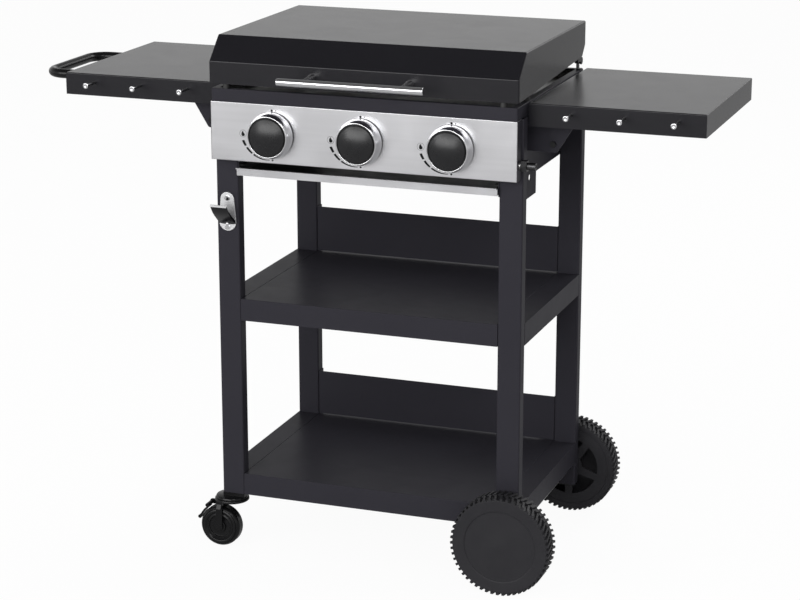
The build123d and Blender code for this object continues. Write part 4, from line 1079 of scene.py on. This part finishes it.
@dataclass
class BottleOpener:
    """Cast egg-shaped plate with a scoop, the scoop's lip and a tooth; below its bright skin, the scoop's underside is
    nickel darkened as a painted dark reflection.
    """

    crown_radius: float = 13.5
    foot_radius: float = 17.0
    sheet: float = 3.0
    mouth_half: float = 16.5
    mouth_low: float = 18.0
    mouth_rise: float = 39.0
    steep: float = 0.2
    trough: float = 1.4
    root: float = 6.0
    rim: float = 3.0
    skin: float = 1.0
    scoop_bite: float = 0.4
    lip_height: float = 4.4
    lip_depth: float = 2.2
    tooth: float = 4.0
    tooth_height: float = 14.0
    tooth_taper: float = 0.92
    tooth_tip: float = 0.05
    tooth_bite: float = 0.3
    soft_edge: float = 0.6

    def plate(self, middle_x: float, foot: float, top: float, face: float) -> np.ndarray:
        """Edge of the plate: two arcs joined by their common tangents.

        Args:
            middle_x: Middle of the leg.
            foot: Height of the plate's foot.
            top: Height of its top.
            face: Depth of the leg's face.

        Returns:
            Array of n by 3 points, in millimetres.
        """
        high, low = top - self.crown_radius, foot + self.foot_radius
        tilt = math.degrees(math.asin((self.foot_radius - self.crown_radius) / (high - low)))
        edge = np.vstack([
            arc((middle_x, high), self.crown_radius, tilt, 180 - tilt, 24),
            arc((middle_x, low), self.foot_radius, 180 - tilt, 360 + tilt, 30),
        ])
        return upright(edge, face)

    def scoop(self, middle_x: float, foot: float, face: float, reach: float) -> tuple[np.ndarray, np.ndarray]:
        """Scoop as two grids: outwards a rise that steepens to the rim, across it a shallow trough.

        The rise is an even slope plus the sixth power of the way out. The trough is the square of the way
        across, and fades to the rim.

        Args:
            middle_x: Middle of the leg.
            foot: Height of the plate's foot.
            face: Depth of the plate's front.
            reach: How far the scoop stands out.

        Returns:
            Grids of the upper and lower side, in millimetres.
        """
        out, across = np.meshgrid(np.linspace(0.0, 1.0, 22), np.linspace(-1.0, 1.0, 21), indexing="ij")
        rise = foot + self.mouth_low + self.mouth_rise * ((1 - self.steep) * out + self.steep * out**6)
        rise = rise + self.trough * (1 - out) * across**2
        top = np.stack([middle_x + self.mouth_half * across, face - reach * out, rise], axis=-1)
        under = top.copy()
        under[..., 2] -= self.root + (self.rim - self.root) * out
        return top, under

    def lip(self, middle_x: float, top: float, front: float) -> np.ndarray:
        """Edge of the lip along the scoop's rim: a bar with round ends.

        Args:
            middle_x: Middle of the leg.
            top: Height of the rim.
            front: Depth of the lip's face.

        Returns:
            Array of n by 3 points, in millimetres.
        """
        half = self.lip_height / 2
        ends = self.mouth_half - half
        edge = np.vstack([
            arc((middle_x + ends, top - half), half, -90, 90, 10),
            arc((middle_x - ends, top - half), half, 90, 270, 10),
        ])
        return upright(edge, front)

    def tooth_profile(self) -> np.ndarray:
        """Section of the tooth: a round stub whose radius falls as the root of one less the height squared.

        Returns:
            Radius and distance from the tooth's seat, in metres.
        """
        share = np.linspace(0.0, 1.0, 9)
        flank = np.stack([self.tooth * np.sqrt(1 - self.tooth_taper * share**2), self.tooth * share], axis=-1)
        return np.vstack([[(0.0, 0.0)], flank, [(0.0, self.tooth + self.tooth_tip)]]) * MM

    def build(self, finishes: Finishes) -> None:
        """Make the opener.

        Args:
            finishes: The griddle's materials.
        """
        low, high = (np.array(corner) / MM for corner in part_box("bottle_opener"))
        middle_x, face = (low[0] + high[0]) / 2, high[1]
        inner = face - self.sheet
        plate = Shell()
        plate.prism(self.plate(middle_x, low[2], high[2], face) * MM, np.array([0.0, -self.sheet * MM, 0.0]))
        rim_top = low[2] + self.mouth_low + self.mouth_rise
        plate.prism(self.lip(middle_x, rim_top, low[1]) * MM, np.array([0.0, self.lip_depth * MM, 0.0]))
        seat = np.array([middle_x, inner + self.tooth_bite, low[2] + self.tooth_height]) * MM
        plate.turn(self.tooth_profile(), seat, Way.FORWARD, 24)
        soft = [keep(plate.piece("opener_cast", finishes["cast"]), "cart", "chrome", "bottle_opener")]
        reach = inner - low[1] - self.lip_depth / 2
        top, under = (side * MM for side in self.scoop(middle_x, low[2], inner + self.scoop_bite, reach))
        parting = top - np.array([0.0, 0.0, self.skin * MM])
        # the bright top skin is plain plate metal; the underside takes the dark nickel, a painted dark reflection
        layers = (("opener_skin", "chrome", top, parting), ("opener_scoop_painted_reflection", "dark", parting, under))
        for name, finish, above, below in layers:
            layer = Shell()
            layer.grid(np.concatenate([above, below[:, ::-1]], axis=1), wrap_columns=True)
            layer.grid(np.stack([above[-1], below[-1]]))
            layer.grid(np.stack([above[0], below[0]]))
            soft.append(keep(layer.piece(name, finishes[finish]), "cart", "chrome"))
        for made in soft:
            soften(made, self.soft_edge)


@dataclass
class RoadWheels:
    """Two moulded wheels: a closed dished face outside, spokes inside and two rows of slanted lugs.

    A pair on the face is a distance across from the tread or the dish, and one back from the face. The spokes'
    pairs are for the hub's end and the rim's end.
    """

    radius: float = 93.5
    width: float = 46.5
    tread: float = 89.5
    relief: float = 1.0
    row_gap: float = 1.5
    lugs: int = 54
    lug_width: float = 5.5
    slant: float = 0.5
    rim_inner: float = 78.5
    dish: float = 69.0
    hub: float = 15.0
    bore: float = 6.05
    boss: float = 26.0
    window: float = 58.0
    web_set: float = 2.0
    web: float = 3.0
    web_play: float = 0.25
    spokes: int = 5
    spoke_width: float = 15.0
    spoke_halves: tuple[float, float] = (0.58, 0.46)
    spoke_bite: tuple[float, float] = (2.0, 1.0)
    lug_bite: float = 1.0
    lug_taper: float = 0.8
    hub_edge: float = 1.0
    hub_end: float = 7.0
    wall: float = 5.5
    wall_fillet: float = 2.0
    inner_round: float = 1.2
    back_round: float = 2.0
    front_round: float = 1.6
    land: tuple[float, float] = (3.4, 0.4)
    dish_edge: tuple[float, float] = (0.8, 0.6)
    dish_foot: tuple[float, float] = (2.6, 2.3)
    dish_bow: float = 0.35
    crown_edge: tuple[float, float] = (4.0, 2.5)
    crown_top: float = 0.3
    crown_bow: float = 0.5
    ring_bite: float = 0.5

    def body_profile(self) -> np.ndarray:
        """Closed section of the wheel without its lugs, from the hub round the rim to the crowned face.

        Returns:
            Radius and distance from the inner hub face, in metres.
        """
        face = self.width - self.relief
        hub, rim, dish, wall = self.hub, self.rim_inner, self.dish, face - self.wall
        land, hub_end = face - self.land[1], self.width - self.hub_end
        dish_foot = (dish - self.dish_foot[0], face - self.dish_foot[1])
        crown_edge = (dish - self.crown_edge[0], face - self.crown_edge[1])
        loop = np.vstack([
            [(self.bore, 0.0), (hub - self.hub_edge, 0.0), (hub, self.hub_edge), (hub, wall)],
            [(rim - self.wall_fillet, wall), (rim, wall - self.wall_fillet), (rim, self.relief + self.inner_round)],
            rounded((rim, self.relief), self.inner_round, Corner.INNER_NEAR, 4),
            rounded((self.tread, self.relief), self.back_round, Corner.OUTER_NEAR, 6),
            rounded((self.tread, face), self.front_round, Corner.OUTER_FAR, 5),
            [(self.tread - self.land[0], land), (dish + self.dish_edge[0], land)],
            bow((dish, face - self.dish_edge[1]), dish_foot, -self.dish_bow, 6),
            bow(crown_edge, (0.0, face - self.crown_top), self.crown_bow, 14),
            [(0.0, hub_end), (self.bore, hub_end)],
        ])
        return loop * MM

    def web_ring(self, inner: float, outer: float) -> np.ndarray:
        """Closed section of a ring of the inner web, in metres."""
        near, far = self.web_set, self.web_set + self.web
        return np.array([(inner, near), (outer, near), (outer, far), (inner, far)]) * MM

    def lug_blocks(self, base: np.ndarray, sign: int) -> np.ndarray:
        """Corners of all lugs: sectors of the tread whose two ends are turned by the slant.

        Args:
            base: Centre of the inner hub face.
            sign: Side of the cart, -1 in front and 1 behind.

        Returns:
            Array of lugs by 8 by 3.
        """
        pitch = 2 * math.pi / self.lugs
        half = self.lug_width / self.radius / 2
        turn = np.arange(self.lugs) * pitch
        root, taper = self.tread - self.lug_bite, self.lug_taper * half
        reach = np.array([root, root, self.radius, self.radius])
        row_width = (self.width - 2 * self.relief - self.row_gap) / 2
        rows = []
        for index, lean in ((0, 1.0), (1, -1.0)):
            start = self.relief + index * (row_width + self.row_gap)
            ends = []
            for along, side in ((start, -0.5), (start + row_width, 0.5)):
                angle = turn + (index / 2 + side * lean * self.slant) * pitch
                corner = np.stack([angle - half, angle + half, angle + taper, angle - taper], axis=-1)
                level = np.full(corner.shape, sign * along)
                ends.append(np.stack([reach * np.cos(corner), level, reach * np.sin(corner)], axis=-1))
            rows.append(np.concatenate(ends, axis=1))
        return base + np.concatenate(rows) * MM

    def spoke_blocks(self, base: np.ndarray, sign: int) -> np.ndarray:
        """Corners of the spokes: tapered bars from the boss to the web's ring, a little thinner than the web.

        Args:
            base: Centre of the inner hub face.
            sign: Side of the cart, -1 in front and 1 behind.

        Returns:
            Array of spokes by 8 by 3.
        """
        turn = -math.pi / 2 + 2 * math.pi / self.spokes * np.arange(self.spokes)[:, None]
        start, end = self.boss - self.spoke_bite[0], self.window + self.spoke_bite[1]
        wide, narrow = self.spoke_halves
        reach = np.array([start, end, end, start])
        half = np.array([-wide, -narrow, narrow, wide]) * self.spoke_width
        across = reach * np.cos(turn) - half * np.sin(turn)
        upward = reach * np.sin(turn) + half * np.cos(turn)
        levels = (self.web_set + self.web_play, self.web_set + self.web - self.web_play)
        ends = [np.stack([across, np.full(across.shape, sign * level), upward], axis=-1) for level in levels]
        return base + np.concatenate(ends, axis=1) * MM

    def build(self, finishes: Finishes) -> None:
        """Make both wheels.

        Args:
            finishes: The griddle's materials.
        """
        for row, sign, way in (("front", -1, Way.FORWARD), ("rear", 1, Way.BACK)):
            node = f"road_wheel_{row}"
            low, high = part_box(node)
            axis = middle(node)
            inner = float(high[1]) if sign < 0 else float(low[1])
            base = np.array([axis[0], inner, axis[2]])
            wheel = Shell()
            wheel.turn(self.body_profile(), base, way, 144, closed=True)
            wheel.blocks(self.lug_blocks(base, sign))
            wheel.blocks(self.spoke_blocks(base, sign))
            for ring in ((self.window, self.rim_inner + self.ring_bite), (self.hub - self.hub_edge, self.boss)):
                wheel.turn(self.web_ring(*ring), base, way, 96, closed=True)
            keep(wheel.piece(f"moulded_wheel_{row}", finishes["wheel"]), f"wheel_{row}", "wheel_plastic", node)


@dataclass
class Casters:
    """Two swivel casters: a stepped round hood, narrow arms with a sloped pad, and a ringed wheel.

    Points of the hood are distances in from its edge and down from its top. Points of the wheel are a radius
    and a distance in from its side. The pad's heights and rises are for its foot and its top.
    """

    hood_set: float = 9.25
    hood_radius: float = 33.0
    hood_top: float = 104.6
    hood_foot: float = 94.6
    hood_crown: float = 4.4
    hood_shoulder: Line = ((3.6, 0.3), (2.2, 4.3))
    hood_groove: Line = ((2.8, 4.6), (1.4, 4.8))
    hood_lip: Line = ((1.1, 5.0), (0.0, 8.1))
    hood_bow: float = 0.25
    hood_edge: float = 0.8
    hood_bite: float = 2.0
    arm_set: float = 2.0
    arm_half: float = 6.0
    arm_in: float = 15.5
    arm_out: float = 17.6
    boss_radius: float = 8.0
    boss_turn: tuple[float, float] = (25.0, -205.0)
    pad_half: float = 4.6
    pad_heights: tuple[float, float] = (77.5, 86.5)
    pad_rise: tuple[float, float] = (22.0, 18.0)
    pin_radius: float = 4.0
    pin_head: float = 0.7
    pin_head_ends: tuple[float, float] = (-0.4, 0.8)
    brake_set: tuple[float, float] = (-27.0, 38.0)
    brake_pin: float = 2.0
    brake_end: float = 10.0
    brake_pin_short: float = 0.3
    tail_half: float = 5.0
    tail_out: float = 18.5
    stem_radius: float = 5.0
    stem_top: float = 142.0
    stem_edge: tuple[float, float] = (0.8, 1.0)
    wheel_hub: Line = ((4.05, 0.0), (11.4, 0.0), (12.0, 0.6), (12.5, 3.6), (20.0, 3.9))
    inner_ridge: Line = ((20.8, 3.6), (25.0, 2.6))
    inner_bow: float = 1.7
    ridge_gap: Line = ((25.6, 2.8), (26.6, 2.8))
    outer_ridge: Line = ((27.2, 2.2), (33.6, 1.2))
    outer_bow: float = 1.6
    tread_step: Line = ((34.0, 1.9),)
    tread_round: float = 9.0
    tread_turn: tuple[float, float] = (64.0, 4.0)
    tread_half_gap: float = 9.5
    tread_crown: float = 0.1
    soft_edge: float = 0.5

    def hood_profile(self) -> np.ndarray:
        """Section of the hood: a flat crown, a sloped shoulder, a groove and a sloped lip.

        Returns:
            Radius and height, in metres.
        """
        edge, top, foot = self.hood_radius, self.hood_top, self.hood_foot
        shoulder, groove, lip = (np.array([edge, top]) - line
                                 for line in (self.hood_shoulder, self.hood_groove, self.hood_lip))
        loop = np.vstack([
            [(0.0, top), (edge - self.hood_crown, top)],
            bow(*shoulder, self.hood_bow, 6),
            groove,
            bow(*lip, self.hood_bow, 6),
            [(edge, foot + self.hood_edge), (edge - self.hood_edge, foot), (0.0, foot)],
        ])
        return loop * MM

    def arm_outline(self, axle: float) -> np.ndarray:
        """Edge of an arm: a narrow strip from the hood to a round end at the wheel's axle.

        Args:
            axle: Height of the axle.

        Returns:
            Array of n by 2: place along X from the axle, and height, in millimetres.
        """
        high = self.hood_foot + self.hood_bite
        return np.vstack([
            [(self.arm_set + self.arm_half, high)],
            arc((0.0, axle), self.boss_radius, *self.boss_turn, 26),
            [(self.arm_set - self.arm_half, high)],
        ])

    def tail_outline(self, axle: float) -> np.ndarray:
        """Edge of the tail: a strip from the arm to a round end at the brake's pin.

        Args:
            axle: Height of the axle.

        Returns:
            Array of n by 2: place along X from the axle, and height, in millimetres.
        """
        back, height = self.brake_set[0], axle + self.brake_set[1]
        return np.vstack([
            arc((back, height), self.tail_half, 90, 270, 14),
            [(self.arm_set, height - self.tail_half), (self.arm_set, height + self.tail_half)],
        ])

    def pad_blocks(self, base: np.ndarray, side: int) -> np.ndarray:
        """Corners of the sloped pad on an arm, proud at its foot.

        Args:
            base: Point on the floor below the axle's middle.
            side: Side of the wheel, -1 or 1.

        Returns:
            Array of 1 by 8 by 3.
        """
        foot, top = self.pad_heights
        low, high = self.pad_rise
        section = np.array([(self.arm_in, top), (high, top), (low, foot), (self.arm_in, foot)])
        ends = []
        for place in (self.arm_set - self.pad_half, self.arm_set + self.pad_half):
            ends.append(np.stack([np.full(len(section), place), side * section[:, 0], section[:, 1]], axis=-1))
        return base + np.concatenate(ends)[None] * MM

    def wheel_profile(self, radius: float, half: float) -> np.ndarray:
        """Closed section of a caster wheel: crowned tread, round shoulders and two ridges on its sides.

        Args:
            radius: The wheel's radius.
            half: Half of its width.

        Returns:
            Radius and distance along the axle from the wheel's middle, in metres.
        """
        hub, inner, gap, outer, step = (
            np.array([0.0, half]) + np.array(line) * (1.0, -1.0)
            for line in (self.wheel_hub, self.inner_ridge, self.ridge_gap, self.outer_ridge, self.tread_step)
        )
        shoulder = (radius - self.tread_round, half - self.tread_round)
        side = np.vstack([
            hub,
            bow(*inner, self.inner_bow, 7),
            gap,
            bow(*outer, self.outer_bow, 9),
            step,
            arc(shoulder, self.tread_round, *self.tread_turn, 12),
        ])
        edge, reach = radius - self.tread_crown, half - self.tread_half_gap
        crown = bow((edge, reach), (edge, -reach), -self.tread_crown, 7)
        mirrored = side[::-1] * np.array([1.0, -1.0])
        return np.vstack([side, crown, mirrored]) * MM

    def fork(self, stem: np.ndarray, axle: np.ndarray) -> Shell:
        """Gather the fork's hood, arms, pins, tail and stem.

        Args:
            stem: Point on the floor below the stem, in metres.
            axle: Middle of the wheel, in metres.

        Returns:
            The fork's shell.
        """
        shell = Shell()
        hood = stem - np.array([self.hood_set * MM, 0.0, 0.0])
        shell.turn(self.hood_profile(), hood, Way.UP, 96)
        base = np.array([axle[0], axle[1], 0.0])
        height = axle[2] / MM

        def strip(outline: np.ndarray, near: float, far: float) -> None:
            """Add a flat strip that stands across Y."""
            shell.prism(base + upright(outline, near) * MM, np.array([0.0, (far - near) * MM, 0.0]))

        def pin(place: tuple[float, float], radius: float, near: float, far: float) -> None:
            """Add a round pin along Y."""
            section = np.array([(0.0, near), (radius, near), (radius, far), (0.0, far)]) * MM
            seat = base + np.array([place[0], 0.0, place[1]]) * MM
            shell.turn(section, seat, Way.BACK, 32)

        for side in (-1, 1):
            strip(self.arm_outline(height), side * self.arm_in, side * self.arm_out)
            near, far = (side * self.arm_out + end for end in self.pin_head_ends)
            pin((0.0, height), self.pin_head * self.boss_radius, near, far)
            shell.blocks(self.pad_blocks(base, side))
        pin((0.0, height), self.pin_radius, -self.arm_out, self.arm_out)
        brake = (self.brake_set[0], height + self.brake_set[1])
        strip(self.tail_outline(height), self.arm_in, self.tail_out)
        pin(brake, self.brake_pin, -self.brake_end, self.tail_out - self.brake_pin_short)
        foot, top, edge = self.hood_foot + self.hood_bite, self.stem_top, self.stem_edge
        post = np.array([(0.0, foot), (self.stem_radius, foot), (self.stem_radius, top - edge[1]),
                         (self.stem_radius - edge[0], top), (0.0, top)]) * MM
        shell.turn(post, stem, Way.UP, 32)
        return shell

    def build(self, finishes: Finishes) -> None:
        """Make the forks and wheels of both casters.

        Args:
            finishes: The griddle's materials.
        """
        for row in ("front", "rear"):
            node = f"caster_wheel_{row}"
            low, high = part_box(node)
            axle = middle(node)
            leg = middle(f"leg_{row}_left")
            shell = self.fork(np.array([leg[0], leg[1], 0.0]), axle)
            made = keep(shell.piece(f"fork_moulding_{row}", finishes["caster"]), f"fork_{row}", "caster_plastic",
                        f"caster_fork_{row}")
            soften(made, self.soft_edge)
            wheel = Shell()
            profile = self.wheel_profile((high[2] - low[2]) / 2 / MM, (high[1] - low[1]) / 2 / MM)
            wheel.turn(profile, axle, Way.BACK, 96, closed=True)
            keep(wheel.piece(f"caster_tyre_{row}", finishes["tread"]), node, "caster_tread", node)


@dataclass(frozen=True)
class SoftBox:
    """Rectangular lamp: its place, the point that it faces, its width and height, and its power in watts."""

    name: str
    place: Place
    aim: Place
    size: tuple[float, float]
    power: float

    def hang(self) -> None:
        """Put the lamp in the room."""
        data = bpy.data.lights.new(self.name, "AREA")
        data.shape, data.size, data.size_y, data.energy = "RECTANGLE", *self.size, self.power
        lamp = bpy.data.objects.new(self.name, data)
        lamp.location = self.place
        lamp.rotation_euler = (Vector(self.aim) - Vector(self.place)).to_track_quat("-Z", "Y").to_euler()
        bpy.context.scene.collection.objects.link(lamp)


@dataclass
class Studio:
    """Pale floor, soft light and the camera at the photograph's angle."""

    focal: float = 103.5
    sensor: float = 36.0
    sight: float = 200.0
    target: Place = (0.0, -0.0245, 0.4721)
    turn: float = 19.895
    dip: float = 15.712
    distance: float = 4.3569
    fill: float = 0.55
    ceiling: float = 0.12
    wall_foot: float = 0.05
    wall_top: float = 0.7
    floor_half: float = 30.0
    floor_grain: float = 3.0
    floor_tones: tuple[float, float] = (0.86, 0.9)
    floor_glow: float = 0.95
    floor_mirror: float = 0.45
    boxes: tuple[SoftBox, ...] = (
        SoftBox("key_box", (-1.6, -5.2, 2.2), (0.0, 0.0, 0.6), (6.0, 2.3), 212.0),
        SoftBox("side_box", (2.4, -3.9, 3.5), (0.0, 0.0, 0.7), (1.8, 1.4), 36.0),
        SoftBox("back_box", (2.0, 3.0, 2.9), (0.0, 0.0, 0.7), (2.6, 1.6), 50.0),
    )

    def camera(self) -> None:
        """Place the camera on its sight line."""
        turn, dip = math.radians(self.turn), math.radians(self.dip)
        back = Vector((math.sin(turn) * math.cos(dip), -math.cos(turn) * math.cos(dip), math.sin(dip)))
        data = bpy.data.cameras.new("studio_camera")
        data.lens, data.sensor_width, data.sensor_fit = self.focal, self.sensor, "HORIZONTAL"
        data.clip_end = self.sight
        camera = bpy.data.objects.new("studio_camera", data)
        camera.location = Vector(self.target) + back * self.distance
        camera.rotation_euler = (-back).to_track_quat("-Z", "Y").to_euler()
        bpy.context.scene.collection.objects.link(camera)
        bpy.context.scene.camera = camera

    @staticmethod
    def background_rays(graph: Graph) -> tuple[bpy.types.NodeSocket, bpy.types.NodeSocket]:
        """Mask of the rays that show the background: the greatest of camera, glossy and transmission ray.

        Args:
            graph: Graph of the world or of a material.

        Returns:
            The mask's socket, and the socket of glossy rays alone.
        """
        path = graph.add("ShaderNodeLightPath").outputs
        seen = graph.math("MAXIMUM", path["Is Camera Ray"], path["Is Glossy Ray"])
        return graph.math("MAXIMUM", seen, path["Is Transmission Ray"]), path["Is Glossy Ray"]

    def world(self) -> None:
        """Light the room: white walls and a dim ceiling in reflections, softer as light on the object."""
        world = bpy.data.worlds.new("studio_room")
        bpy.context.scene.world = world
        world.use_nodes = True
        graph = Graph(world.node_tree)
        seen, _ = self.background_rays(graph)
        place = graph.add("ShaderNodeTexCoord").outputs["Generated"]
        height = graph.add("ShaderNodeSeparateXYZ", {0: place}).outputs[2]
        walls = graph.add("ShaderNodeMapRange", {"Value": height, "From Min": self.wall_foot, "From Max": self.wall_top,
                                                 "To Min": 1.0, "To Max": self.ceiling})
        strength = graph.spread(seen, self.fill, walls.outputs[0])
        room = graph.add("ShaderNodeBackground", {"Color": WHITE, "Strength": strength})
        graph.add("ShaderNodeOutputWorld", {0: room.outputs[0]})

    def floor(self) -> None:
        """Lay a wide pale floor that keeps the shadow."""
        shell = Shell()
        span = np.linspace(-self.floor_half, self.floor_half, 13)
        across, along = np.meshgrid(span, span)
        shell.grid(np.stack([across, along, np.zeros_like(across)], axis=-1)[:, ::-1])
        material = bpy.data.materials.new("studio_floor")
        material.use_nodes = True
        graph = Graph(material.node_tree)
        place = graph.add("ShaderNodeTexCoord").outputs["Object"]
        grain = graph.add("ShaderNodeTexNoise", {"Vector": place, "Scale": self.floor_grain})
        low, high = ((tone,) * 3 for tone in self.floor_tones)
        matt = graph.add("ShaderNodeBsdfDiffuse", {"Color": graph.blend(grain.outputs[0], low, high)})
        seen, glossy = self.background_rays(graph)
        mirrored = graph.spread(glossy, 1.0, self.floor_mirror)
        glow = graph.add("ShaderNodeEmission", {"Color": WHITE, "Strength": mirrored})
        share = graph.math("MULTIPLY", seen, self.floor_glow)
        mixed = graph.add("ShaderNodeMixShader", {0: share, 1: matt.outputs[0], 2: glow.outputs[0]})
        graph.add("ShaderNodeOutputMaterial", {0: mixed.outputs[0]})
        shell.piece("studio_floor", material, flat=True)

    def build(self) -> None:
        """Set up the camera, lamps, room and floor."""
        bpy.context.scene.view_settings.view_transform = "Standard"
        self.camera()
        for box in self.boxes:
            box.hang()
        self.world()
        self.floor()


def main() -> None:
    """Dress the griddle and light it."""
    logging.basicConfig(level=logging.INFO, format="%(name)s %(message)s")
    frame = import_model()
    Studio().build()
    finishes = Finishes()
    for node, material in finishes.by_node().items():
        mesh = frame["nodes"][node].data
        mesh.materials.clear()
        mesh.materials.append(material)
    fittings = (Knobs(), PanelEnds(), DialPrint(), LidHandle())
    for group in (*fittings, ToolHooks(), BottleOpener(), RoadWheels(), Casters()):
        group.build(finishes)
        LOG.info("%s done", type(group).__name__)


if __name__ == "__main__":
    main()
